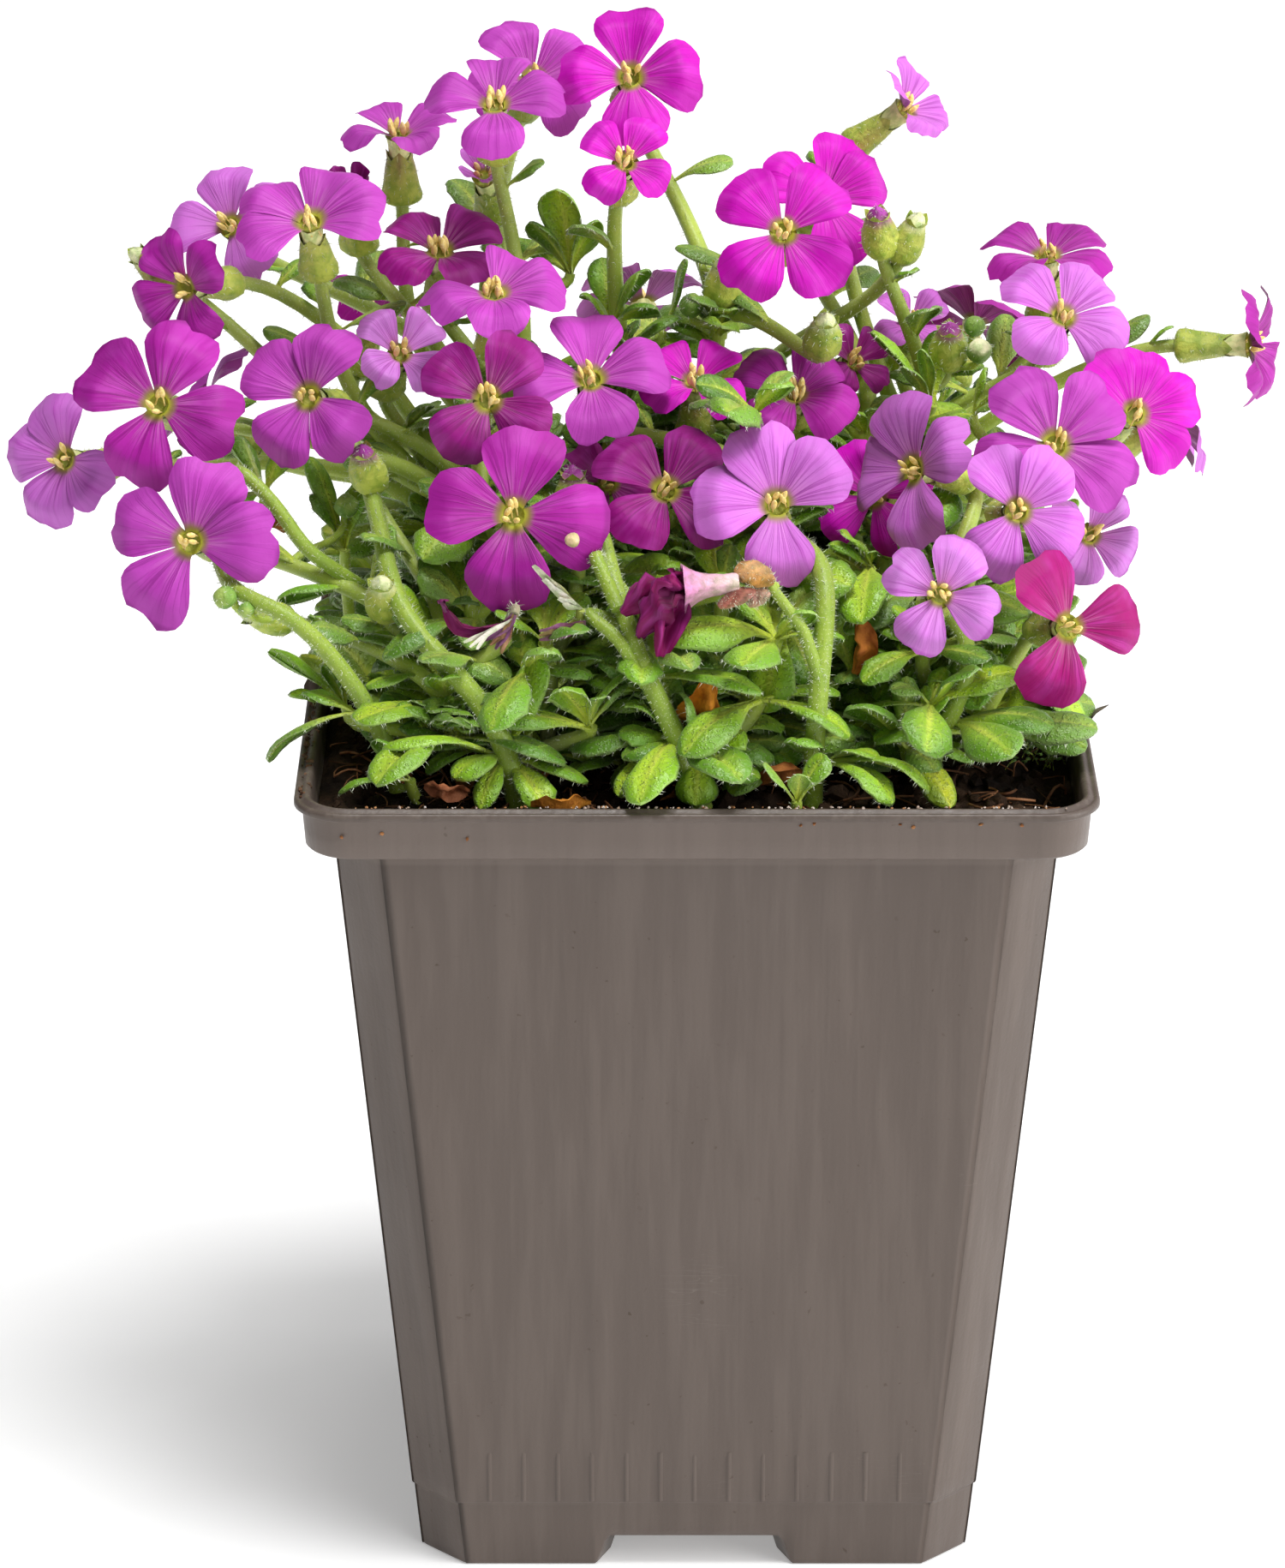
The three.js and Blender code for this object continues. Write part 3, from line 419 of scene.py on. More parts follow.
def grow_root(root):
    random = draws(1000 + 37 * ROOTS[root][3])
    taken = np.zeros((0, 3))
    ticks = np.arange(21) / 20
    rosettes = []
    for i in range(ROOTS[root][2]):
        plan = plan_rosette(root, i, random)
        for more in (0, 3, 6, 9, 12, 16, 20):
            hub = np.array([*plan["spot"], max(103.5, plan["height"] - more)])
            if not in_cell(root, hub, 2)[0] or not is_clear(hub, 2.2)[0]:
                continue
            way = stem_path(root, taken, plan["start"], UP, hub, plan["lean"], -1)
            if way is None:
                continue
            taken = np.vstack([taken, bezier(*way, ticks)])
            rosettes.append(dict(plan, hub=hub, way=way))
            break
    flowers = []
    for k, (foot, out, is_bud) in enumerate(ends):
        if not in_cell(root, foot, 0)[0]:
            continue

        def far_from(rosette):
            return np.linalg.norm(rosette["hub"] - foot) + (30 if rosette["hub"][2] > foot[2] - 4 else 0)

        for rosette in sorted(rosettes, key=far_from):
            way = stem_path(root, taken, rosette["hub"], rosette["lean"], foot, out, k)
            if way is not None:
                break
        taken = np.vstack([taken, bezier(*way, ticks)])
        flowers.append(dict(way=way, foot=foot, out=out, is_bud=is_bud, number=k))
        if is_bud:
            taken = np.vstack([taken, foot + 3 * out, foot + BUD_LENGTH * out])
    for rosette in rosettes:
        grown = [grow_leaf(root, taken, rosette["hub"], *plan) for plan in rosette["plans"]]
        rosette["leaves"] = grown
        for leaf in grown:
            if leaf is not None:
                taken = np.vstack([taken, leaf_points(leaf)])
    for flower in flowers:
        first, rise, length = 360 * random(), math.radians(20 + 30 * random()), 8 + 3 * random()
        base = bezier(*flower["way"], JOINT)
        leaf = None
        for j in range(3):
            heading = math.radians(first + 120 * j)
            if leaf is None:
                leaf = grow_leaf(root, taken, base, 1, heading, rise, 0.4, 0, length, 4.4)
        flower["leaves"] = [leaf] if leaf is not None else []
        if leaf is not None:
            taken = np.vstack([taken, leaf_points(leaf)])
    return rosettes, flowers


plants = [grow_root(k) for k in range(len(ROOTS))]
# Every stem and flower stalk as points, for what is joined on later.
STALK_POINTS = np.vstack([
    bezier(*stem["way"], np.arange(21) / 20) for plant in plants for part in plant for stem in part
])


# Mesh building

scene = bpy.context.scene


def placed(name, data):
    made = bpy.data.objects.new(name, data)
    scene.collection.objects.link(made)
    return made


class Build:
    """Points, faces and per-point facts of one piece. UV holds a leaf's or petal's own across and along."""

    def __init__(self):
        self.points, self.tris, self.quads, self.uv, self.tint = [], [], [], [], []
        self.count = 0

    def add(self, points, faces, uv=None, tint=(1, 1, 1)):
        points = np.asarray(points, float).reshape(-1, 3)
        faces = np.asarray(faces, int)
        (self.tris if faces.shape[1] == 3 else self.quads).append(faces + self.count)
        self.points.append(points)
        self.uv.append(np.zeros((len(points), 2)) if uv is None else np.asarray(uv, float).reshape(-1, 2))
        self.tint.append(np.broadcast_to(np.asarray(tint, float), (len(points), 3)))
        self.count += len(points)

    def piece(self, name, material, slot, replaces=(), smooth_faces=True):
        mesh = bpy.data.meshes.new(name)
        points = (np.vstack(self.points) + SHIFT) / 1000
        parts = [(np.vstack(f), n) for f, n in ((self.tris, 3), (self.quads, 4)) if f]
        loops = np.concatenate([f.ravel() for f, _ in parts])
        totals = np.concatenate([np.full(len(f), n) for f, n in parts])
        mesh.vertices.add(len(points))
        mesh.vertices.foreach_set("co", points.ravel())
        mesh.loops.add(len(loops))
        mesh.loops.foreach_set("vertex_index", loops)
        mesh.polygons.add(len(totals))
        mesh.polygons.foreach_set("loop_start", np.concatenate([[0], np.cumsum(totals)[:-1]]))
        mesh.polygons.foreach_set("use_smooth", np.full(len(totals), smooth_faces))
        uv = mesh.uv_layers.new(name="Own")
        uv.data.foreach_set("uv", np.vstack(self.uv)[loops].ravel())
        tint = mesh.attributes.new("Tint", "FLOAT_COLOR", "POINT")
        tint.data.foreach_set("color", np.hstack([np.vstack(self.tint), np.ones((len(points), 1))]).ravel())
        mesh.update(calc_edges=True)
        mesh.validate()
        mesh.materials.append(material)
        made = placed(name, mesh)
        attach(made, "root")
        if replaces:
            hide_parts(*replaces)


def grid_faces(n, m, wrap=False):
    i, j = np.meshgrid(np.arange(n - 1), np.arange(m if wrap else m - 1), indexing="ij")
    a, b = i * m + j, i * m + (j + 1) % m
    return np.stack([a, b, b + m, a + m], -1).reshape(-1, 4)


def fan_faces(sides):
    """Triangles from a ring to the point that comes after it."""
    return [[i, (i + 1) % sides, sides] for i in range(sides)]


def resampled(points, ticks, along):
    """Points at some places along a line whose own points lie at the ticks."""
    return np.column_stack([np.interp(along, ticks, points[:, k]) for k in range(3)])


def tube(build, path, radii, sides=8, tint=(1, 1, 1), lobes=1, cap=True, start=None):
    """A tube along a path. Radii and tints are given for each ring, or for each ring and side."""
    path = np.asarray(path, float)
    n = len(path)
    along = units(np.gradient(path, axis=0))
    if start is None:
        start = np.cross(along[0], UP if abs(along[0][2]) < 0.95 else [0, 1.0, 0])
    across, w, rings = start, circle(sides), []
    for k in range(n):
        across = unit(across - along[k] * (across @ along[k]))
        other = np.cross(along[k], across)
        r = np.broadcast_to(radii[k], (sides,)) * lobes
        rings.append(path[k] + (r * np.cos(w))[:, None] * across + (r * np.sin(w))[:, None] * other)
    tint = np.asarray(tint, float)
    tint = np.broadcast_to(tint if tint.ndim == 3 else tint[..., None, :], (n, sides, 3))
    u, v = np.meshgrid(np.arange(sides) / sides, np.linspace(0, 1, n))
    build.add(np.vstack(rings), grid_faces(n, sides, True), np.stack([u, v], -1), tint.reshape(-1, 3))
    if cap:
        tip = path[-1] + along[-1] * 0.2 * np.mean(radii[-1])
        build.add(np.vstack([rings[-1], tip]), fan_faces(sides), None, tint[-1, -1])
    return rings


def blade_grid(along, across):
    """What all leaves of one kind share: places along and across, and a strip tucked under each margin."""
    s = np.concatenate([np.linspace(0, 0.68, along - 5), [0.77, 0.86, 0.93, 0.975, 1.0]])
    u = np.concatenate([[-0.84], np.sin(np.linspace(-1, 1, across) * np.pi / 2), [0.84]])
    under = np.concatenate([[1.0], np.zeros(across), [1.0]])
    return s, u, under, grid_faces(along, across + 2)


FINE, COARSE = blade_grid(12, 9), blade_grid(9, 5)


def half_width(s, widest):
    rise = 0.17 + 0.83 * smooth(0.08, widest, s)
    fall = np.sqrt(np.clip(1 - (np.clip(s - widest, 0, 1) / (1 - widest)) ** 2.3, 0, 1))
    return 0.5 * rise * fall


def add_leaf(build, hairs, leaf, seed, tint, grid=FINE):
    """A cushioned spoon-shaped blade: sunken midrib, full halves, margin rolled down, few blunt teeth."""
    random = draws(7000 + seed * 31, 3)
    s, u, under, faces = grid
    width, length = leaf[6], leaf[5]
    p, _, side, normal = leaf_frame(leaf, s)
    w = half_width(s, 0.60 + 0.10 * random()) * width
    if random() < 0.4:
        tooth, dent = ((s - 0.78) / 0.035) ** 2, ((s - 0.87) / 0.04) ** 2
        w = w * (1 + 0.13 * np.exp(-tooth) - 0.06 * np.exp(-dent))
    uu, ss = np.meshgrid(u, s)
    a = np.abs(uu)
    h = w[:, None]
    bulge, fold, roll = 0.12 + 0.14 * random(), -0.02 + 0.34 * random() ** 2, 0.15 + 0.30 * random()
    lift = h * (bulge * np.sin(np.pi * a) + fold * a - roll * a ** 4 * smooth(0.1, 0.5, ss))
    lift += h * (0.06 + 0.10 * random()) * np.sin(7 * ss + 6 * random() + 2 * uu) * uu * a
    lift += (random() - 0.5) * 0.6 * ss ** 2 * uu * h
    lift -= 0.05 * length * random() * smooth(0.7, 1.0, ss) ** 2
    lift -= under[None] * 0.05 * (width + 2)
    points = p[:, None] + (h * uu)[..., None] * side[:, None] + lift[..., None] * normal[:, None]
    build.add(points, faces, np.stack([np.sign(uu) * np.maximum(a, under[None]), ss], -1), tint)
    if hairs is not None:
        add_margin_hairs(hairs, points[:, 1:-1], seed, length, 2.4 if grid is FINE else 1.3)


def add_margin_hairs(hairs, points, seed, length, density):
    rng = np.random.default_rng(seed)
    n, m = points.shape[:2]
    count = int(density * length) + 5
    along = rng.uniform(0.15, 0.995, count) * (n - 1)
    k = along.astype(int)
    t = (along - k)[:, None]
    edge = rng.choice([0, m - 1], count)
    inner = np.where(edge == 0, 1, m - 2)
    p = points[k, edge] * (1 - t) + points[k + 1, edge] * t
    q = points[k, inner] * (1 - t) + points[k + 1, inner] * t
    add_hairs(hairs, p, units(p - q), rng, 0.35)


def stem_hairs(hairs, rings, seed, density=1.0):
    rng = np.random.default_rng(seed)
    rings = np.array(rings)
    n, m = rings.shape[:2]
    middle = rings.mean(1)
    count = int(7 * density * np.linalg.norm(np.diff(middle, axis=0), axis=1).sum())
    k = rng.integers(0, n - 1, count)
    j = rng.integers(0, m, count)
    t = rng.uniform(0, 1, (count, 1))
    p = rings[k, j] * (1 - t) + rings[k + 1, j] * t
    centre = middle[k] * (1 - t) + middle[k + 1] * t
    add_hairs(hairs, p, units(p - centre), rng, 0.3)


def add_hairs(hairs, p, out, rng, shortest, longest=0.75, base=0.035):
    """A thin triangle at each point, leaning at random from the given direction."""
    count = len(p)
    if not count:
        return
    out = units(out + rng.normal(0, 0.35, (count, 3)))
    across = units(np.cross(out, rng.normal(0, 1, (count, 3))))
    size = rng.uniform(shortest, longest, count)[:, None]
    points = np.stack([p - base * across, p + base * across, p + out * size], 1).reshape(-1, 3)
    hairs.add(points, np.arange(3 * count).reshape(-1, 3))


# Materials


class Nodes:
    def __init__(self, name):
        self.material = bpy.data.materials.new(name)
        self.material.use_nodes = True
        self.tree = self.material.node_tree
        self.shader = self.tree.nodes["Principled BSDF"]

    def set(self, socket, value):
        if isinstance(value, bpy.types.NodeSocket):
            self.tree.links.new(value, socket)
        elif isinstance(value, tuple) and len(value) == 3 and len(socket.default_value) == 4:
            socket.default_value = (*value, 1)
        else:
            socket.default_value = value

    def node(self, kind, inputs=(), **settings):
        made = self.tree.nodes.new("ShaderNode" + kind)
        for key, value in settings.items():
            setattr(made, key, value)
        for key, value in dict(inputs).items():
            self.set(made.inputs[key], value)
        return made

    def math(self, operation, a, b=0.0, c=0.0):
        return self.node("Math", {0: a, 1: b, 2: c}, operation=operation).outputs[0]

    def times(self, a, b):
        return self.math("MULTIPLY", a, b)

    def plus(self, a, b):
        return self.math("ADD", a, b)

    def ramp(self, value, low, high, first=0.0, last=1.0):
        """Passes smoothly from first to last as a value passes from low to high."""
        inputs = {0: value, 1: low, 2: high, 3: first, 4: last}
        return self.node("MapRange", inputs, interpolation_type="SMOOTHSTEP").outputs[0]

    def blend(self, share, a, b, mode="MIX"):
        return self.node("Mix", {0: share, 6: a, 7: b}, data_type="RGBA", blend_type=mode).outputs[2]

    def layer(self, under, over, value, low, high, first=0.0, last=1.0):
        """One colour over another, by a share that passes from first to last."""
        return self.blend(self.ramp(value, low, high, first, last), under, over)

    def dyed(self, colour, by):
        return self.blend(1.0, colour, by, "MULTIPLY")

    def place(self):
        return self.node("TexCoord").outputs["Object"]

    def stretched(self, z):
        """The place on the piece, with its height scaled."""
        return self.node("VectorMath", {0: self.place(), 1: (1, 1, z)}, operation="MULTIPLY").outputs[0]

    def noise(self, scale, detail=3.0, vector=None, distortion=0.0):
        inputs = {"Scale": scale, "Detail": detail, "Roughness": 0.55, "Distortion": distortion}
        inputs["Vector"] = self.place() if vector is None else vector
        return self.node("TexNoise", inputs).outputs["Fac"]

    def spots(self, scale, near, far, share=1.0):
        """Fine round spots, as of short down."""
        down = self.node("TexVoronoi", {"Vector": self.place(), "Scale": scale}, feature="F1")
        return self.ramp(down.outputs["Distance"], near, far, share, 0.0)

    def own(self):
        made = self.node("UVMap", uv_map="Own")
        return self.node("SeparateXYZ", {0: made.outputs[0]}).outputs[:2]

    def tint(self):
        return self.node("Attribute", attribute_name="Tint").outputs["Color"]

    def bump(self, height, strength, distance, normal=None):
        inputs = {"Height": height, "Strength": strength, "Distance": distance}
        if normal is not None:
            inputs["Normal"] = normal
        return self.node("Bump", inputs).outputs[0]

    def principled(self, **values):
        for key, value in values.items():
            self.set(self.shader.inputs[key.replace("_", " ")], value)
        return self.material


def leaf_material():
    m = Nodes("leaf")
    u, s = m.own()
    across = m.math("ABSOLUTE", u)
    base = m.tint()
    mottled, fine = m.noise(380, 4), m.noise(1700, 3)
    dark = m.dyed(base, (0.37, 0.55, 0.30))
    outer = m.math("MULTIPLY_ADD", s, 0.55, m.times(across, 0.75))
    colour = m.layer(base, dark, outer, 0.40, 1.05, 0.0, 0.92)
    colour = m.layer(colour, dark, mottled, 0.42, 0.72, 0.0, 0.45)
    colour = m.layer(colour, dark, fine, 0.5, 0.7, 0.0, 0.35)
    narrow = m.math("DIVIDE", across, m.math("SUBTRACT", 1.25, s))
    rib = m.times(m.ramp(narrow, 0.03, 0.34, 1.0, 0.0), m.ramp(s, 0.3, 0.95, 0.9, 0.15))
    colour = m.blend(rib, colour, (0.66, 0.74, 0.10))
    colour = m.layer(colour, (0.60, 0.70, 0.05), s, 0.02, 0.55, 0.85, 0.0)
    branch = m.math("SINE", m.math("MULTIPLY_ADD", s, 30, m.times(across, -8)))
    side_vein = m.times(m.ramp(branch, 0.8, 1.0), m.ramp(across, 0.1, 0.9, 0.22, 0.0))
    colour = m.blend(side_vein, colour, (0.58, 0.68, 0.10))
    colour = m.layer(colour, (0.60, 0.68, 0.34), across, 0.88, 1.0, 0.0, 0.20)
    spot = m.spots(2400, 0.14, 0.40)
    colour = m.blend(m.times(spot, m.ramp(across, 0.0, 0.8, 0.08, 0.26)), colour, (0.52, 0.68, 0.28))
    normal = m.bump(m.plus(m.times(spot, 0.6), fine), 0.75, 0.0003)
    height = m.plus(m.plus(rib, side_vein), m.times(mottled, -0.8))
    normal = m.bump(height, 0.35, -0.0006, normal)
    return m.principled(
        Base_Color=colour, Roughness=m.ramp(mottled, 0.3, 0.7, 0.28, 0.46), Normal=normal,
        Specular_IOR_Level=0.6, Sheen_Weight=0.08, Sheen_Roughness=0.5,
    )


def stem_material():
    m = Nodes("stem")
    base = m.tint()
    colour = m.layer(base, m.dyed(base, (0.6, 0.75, 0.8)), m.noise(500, 3), 0.3, 0.7, 0.0, 0.4)
    colour = m.blend(m.spots(3300, 0.12, 0.34, 0.4), colour, (0.66, 0.70, 0.42))
    return m.principled(
        Base_Color=colour, Roughness=0.45, Normal=m.bump(m.noise(1500, 2), 0.3, 0.0003), Sheen_Weight=0.12,
        Sheen_Roughness=0.4, Specular_IOR_Level=0.4,
    )


def petal_material():
    m = Nodes("petal")
    u, s = m.own()
    base = m.tint()
    # Each petal looks up its streaks at its own place, taken from its tint.
    place = m.times(m.node("SeparateColor", {0: base}).outputs[0], 210.0)
    wander = m.math("MULTIPLY_ADD", m.noise(330, 2), 0.16, -0.08)
    side = m.plus(u, m.times(wander, s))

    def streaks(across, along, detail=2.0, shift=0.0):
        ahead = m.math("MULTIPLY_ADD", s, along, shift)
        spot = m.node("CombineXYZ", {0: m.times(side, across), 1: ahead, 2: place})
        return m.noise(1.0, detail, spot.outputs[0])

    deep = m.dyed(base, (0.42, 0.10, 0.40))
    light = m.blend(0.17, base, (0.80, 0.14, 0.78))
    colour = m.layer(base, light, streaks(2.2, 1.6), 0.42, 0.68, 0.0, 0.85)
    shade = m.dyed(base, (0.82, 0.30, 0.80))
    colour = m.layer(colour, shade, streaks(5.0, 1.1, 3.0, 4.0), 0.50, 0.72, 0.0, 0.45)
    fade, start = m.ramp(s, 0.30, 1.0, 1.0, 0.16), m.ramp(s, 0.13, 0.24)
    pale = m.times(m.ramp(streaks(9.0, 0.7, 2.0, 9.0), 0.44, 0.64), m.ramp(s, 0.22, 0.60, 0.26, 0.0))
    colour = m.blend(m.times(pale, start), colour, m.blend(0.5, base, (1.0, 0.62, 0.84)))
    thick = streaks(7.5, 0.45, 1.0, 2.0)
    line = m.times(m.ramp(thick, 0.53, 0.60), m.ramp(thick, 0.60, 0.68, 1.0, 0.35))
    thin = m.ramp(streaks(19.0, 0.7, 1.0, 6.0), 0.56, 0.66)
    veins = m.times(m.math("MAXIMUM", m.times(line, 0.66), m.times(thin, 0.46)), m.times(fade, start))
    colour = m.blend(veins, colour, deep)
    colour = m.layer(colour, deep, s, 0.975, 1.03, 0.0, 0.45)
    ring = m.plus(s, m.math("MULTIPLY_ADD", m.noise(900, 2), 0.05, -0.025))
    colour = m.layer(colour, m.blend(0.45, (0.36, 0.33, 0.03), deep), ring, 0.16, 0.26, 1.0, 0.0)
    colour = m.layer(colour, (0.36, 0.37, 0.03), ring, 0.12, 0.18, 1.0, 0.0)
    height = m.plus(m.times(veins, -0.9), m.times(m.noise(700, 3), 0.6))
    return m.principled(
        Base_Color=colour, Roughness=0.55, Normal=m.bump(height, 0.28, 0.0004), Sheen_Weight=0.06,
        Sheen_Roughness=0.35, Specular_IOR_Level=0.22,
    )


def simple_material(name, colour, roughness, scale, other, bump, distance=0.0004, sheen=0.0):
    """Two mottled colours. Without a colour of its own, it takes the piece's tint and that tint dyed."""
    m = Nodes(name)
    fine = m.noise(scale, 5)
    first = colour or m.tint()
    second = other if colour else m.dyed(first, other)
    return m.principled(
        Base_Color=m.layer(first, second, fine, 0.35, 0.7), Roughness=roughness,
        Normal=m.bump(fine, bump, distance), Sheen_Weight=sheen, Specular_IOR_Level=0.35,
    )


def pot_material():
    m = Nodes("pot_plastic")
    z = m.node("SeparateXYZ", {0: m.place()}).outputs[2]
    cloud, fleck = m.noise(55, 5), m.noise(900, 2)
    broad = m.noise(14, 4, m.stretched(0.22))
    base = m.layer((0.093, 0.070, 0.057), (0.098, 0.074, 0.061), broad, 0.3, 0.7)
    base = m.layer(base, (0.140, 0.107, 0.089), m.noise(150, 2, m.stretched(0.035)), 0.45, 0.8, 0.0, 0.14)
    base = m.layer(base, (0.130, 0.101, 0.085), cloud, 0.5, 0.8, 0.0, 0.12)
    # The collar is painted lighter than the body, as painted light, and the lip's top is painted darker, as
    # painted shade against the top lamp; the lip also carries light dust. Heights are in metres here.
    # Painted light: the collar and the body's topmost 2 mm are painted lighter than the body below.
    base = m.layer(base, (0.152, 0.118, 0.100), z, 0.0918, 0.0924, 0.0, 0.45)
    dirt = m.times(m.ramp(fleck, 0.70, 0.76), m.ramp(cloud, 0.45, 0.6, 0.2, 0.9))
    base = m.blend(dirt, base, (0.055, 0.035, 0.022))
    crust = m.times(m.ramp(z, 0.0988, 0.0997), m.ramp(m.noise(900, 5), 0.50, 0.62))
    base = m.blend(m.times(crust, 0.30), base, (0.30, 0.25, 0.21))
    # Painted shade: the lip's outer band and top are painted darker where the top lamp lights them.
    base = m.layer(base, (0.050, 0.036, 0.028), z, 0.0984, 0.0992, 0.0, 0.5)
    scratch = m.math("ABSOLUTE", m.math("SUBTRACT", m.noise(70, 1, m.stretched(14), 1.2), 0.5))
    line = m.times(m.ramp(scratch, 0.0, 0.012, 1.0, 0.0), m.ramp(m.noise(40, 2), 0.60, 0.72))
    base = m.blend(m.times(line, 0.12), base, (0.36, 0.32, 0.29))
    stripes = m.plus(m.noise(330, 1, m.stretched(0.012)), m.times(m.noise(1100, 1, m.stretched(0.006)), 0.5))
    base = m.layer(base, (0.165, 0.130, 0.110), stripes, 0.6, 0.95, 0.0, 0.22)
    height = m.plus(stripes, m.times(m.noise(2200, 2), 0.25))
    height = m.math("SUBTRACT", height, m.times(line, 0.12))
    return m.principled(
        Base_Color=base, Roughness=m.ramp(cloud, 0.3, 0.7, 0.36, 0.50), Normal=m.bump(height, 0.22, 0.0005),
        Specular_IOR_Level=0.38,
    )


def soil_material():
    m = Nodes("peat")
    clump, crumb = m.noise(160, 6), m.noise(900, 4)
    colour = m.layer((0.010, 0.0055, 0.0035), (0.045, 0.024, 0.013), clump, 0.35, 0.65)
    colour = m.layer(colour, (0.12, 0.06, 0.03), crumb, 0.58, 0.75, 0.0, 0.6)
    normal = m.bump(m.plus(clump, m.times(crumb, 0.5)), 0.9, 0.0015)
    return m.principled(Base_Color=colour, Roughness=0.9, Normal=normal, Specular_IOR_Level=0.2)


LEAF, STALK, PETAL = leaf_material(), stem_material(), petal_material()
POT, PEAT = pot_material(), soil_material()
HAIR = simple_material("down", (0.72, 0.76, 0.62), 0.6, 300, (0.60, 0.66, 0.48), 0.05)
POLLEN = simple_material("anther", (0.82, 0.60, 0.16), 0.7, 2600, (0.92, 0.76, 0.34), 0.6, 0.0003)
CALYX = simple_material("calyx", None, 0.5, 900, (0.58, 0.72, 0.5), 0.8, 0.0005, 0.1)
DRY = simple_material("dry_leaf", None, 0.75, 500, (0.5, 0.35, 0.22), 0.8, 0.0008)


# Leaves, stalks and buds

GREENS = {
    "M": [(0.36, 0.56, 0.026), (0.41, 0.60, 0.030), (0.31, 0.52, 0.030)],
    "B": [(0.52, 0.70, 0.030), (0.46, 0.66, 0.036)], "D": [(0.20, 0.36, 0.022), (0.25, 0.41, 0.020)],
    "G": [(0.38, 0.52, 0.075), (0.31, 0.45, 0.065)], "Y": [(0.64, 0.68, 0.020)],
}
FRESH = (0.44, 0.56, 0.07)
# The sizes that are tried in turn for a leaf that has to fit, and the steps between leaves up a stem.
SHARES = (1, 0.85, 0.7, 0.55)
LEAF_GAP = 2.2
# Along a bud and along a calyx: shares of the length, and the radius at each.
BUD_SHAPE = [0, 0.04, 0.14, 0.3, 0.5, 0.68, 0.82, 0.93, 1.0], [0.8, 1.3, 1.8, 2.0, 1.9, 1.5, 1.15, 0.8, 0.25]
CALYX_SHAPE = [0, 0.03, 0.1, 0.22, 0.4, 0.6, 0.8, 0.93, 1], [0.8, 1.5, 2, 2.05, 1.8, 1.65, 1.5, 1.35, 1.28]
CALYX_TIPS = ((0.36, 0.25, 0.09), (0.52, 0.52, 0.12), (0.42, 0.50, 0.11))


def green(random, kind):
    return np.array(pick(GREENS[kind], random())) * (0.85 + 0.3 * random())


def hairy_tube(build, hairs, path, first, last, tint, seed, density, sides=8):
    """A stalk with its hairs, from one radius to another along its path."""
    rings = tube(build, path, np.linspace(first, last, len(path)), sides, tint)
    stem_hairs(hairs, rings, seed, density)


def sepal_tips(build, ring, spread, reach, out, tint):
    """Four pointed tips on a ring, that stand a little away from what they close round."""
    middle, point = ring.mean(0), 0.5 + 0.5 * np.cos(4 * circle(len(ring)))
    tips = middle + (ring - middle) * spread + (reach * point)[:, None] * out
    build.add(np.vstack([ring, tips]), grid_faces(2, len(ring), True), None, tint)


def calyx_or_bud(build, hairs, foot, out, is_bud, number):
    """Four sepals, two of them pouched, round a flower's tube, or closed over a bud."""
    random = draws(300 + number, 2)
    w = circle(16)
    s, r = (np.array(row) for row in (BUD_SHAPE if is_bud else CALYX_SHAPE))
    length = BUD_LENGTH if is_bud else CALYX_LENGTH - 1.5
    uneven = 0.05 * (np.array([random() for _ in w]) - 0.5)
    lobes = 1 + 0.10 * np.abs(np.cos(2 * w)) + 0.09 * np.cos(2 * w) + uneven
    tone = np.array((0.52, 0.58, 0.085)) * (0.8 + 0.35 * random())
    tip = np.array(pick(CALYX_TIPS, random()))
    ribs = 0.35 + 0.65 * (0.5 + 0.5 * np.cos(4 * w)) ** 2
    tints = mix(tone, tip, (smooth(0.25, 1.0, s)[:, None] * ribs)[..., None])
    if is_bud:
        peek = np.array(TINTS["P"] if random() > 0.6 else (0.78, 0.78, 0.46))
        tints = mix(tints, peek, smooth(0.74, 0.86, s)[:, None, None])
    rings = tube(build, foot + np.outer(s * length, out), r, 16, tints, lobes, cap=False)
    top = rings[-1]
    if is_bud:
        build.add(np.vstack([top, top.mean(0) + out * 0.3]), fan_faces(16), None, tints[-1, 0])
        sepal_tips(build, rings[6], 1.15, 0.9, out, tone)
    else:
        sepal_tips(build, top, 1.05, 1.2, out, np.tile(tints[-1], (2, 1)))
    stem_hairs(hairs, rings, 900 + number, 4.0)


def round_bud(build, hairs, foot, out, radius, top, seed):
    """A small closed bud: four sepals that meet over a pale tip."""
    t = np.linspace(0.06, 0.97, 9)
    path = foot + np.outer((1 - np.cos(np.pi * t)) * radius, out)
    tints = mix(np.array((0.22, 0.38, 0.06)), np.array(top), smooth(0.60, 0.72, t)[:, None])
    rings = tube(build, path, radius * np.sin(np.pi * t) ** 0.8, 14, tints, 1 + 0.06 * np.cos(4 * circle(14)))
    stem_hairs(hairs, rings, seed, 2.5)


def stalk_path(points):
    """Even points along a rounded line through the given ones."""
    points = np.array(points, float)
    run = np.concatenate([[0], np.cumsum(np.linalg.norm(np.diff(points, axis=0), axis=1))])
    return softened(resampled(points, run, np.linspace(0, run[-1], 22)), 4)


SEEN = []
for hub, *plan in SHOOTS:
    shoot = dict(hub=np.array(hub), leaves=[])
    for *angles, length, width, kind in plan:
        for share in SHARES:
            leaf = (shoot["hub"], *(math.radians(v) for v in angles), length * share, width * share)
            if is_clear(leaf_points(leaf)[1:], 0, open_too=False).all():
                shoot["leaves"].append((leaf, kind))
                break
    shoot["root"] = np.argmin([math.hypot(x - hub[0], y - hub[1]) for x, y, _, _ in ROOTS])
    SEEN.append(shoot)
# What the filling leaves mustn't cover: the placed leaves, and the thick stalks but for their ends.
SEEN_POINTS = np.vstack([
    *(leaf_points(leaf) for shoot in SEEN for leaf, _ in shoot["leaves"]),
    *(stalk_path(points)[2:-3] for points, _, _ in STALKS),
])


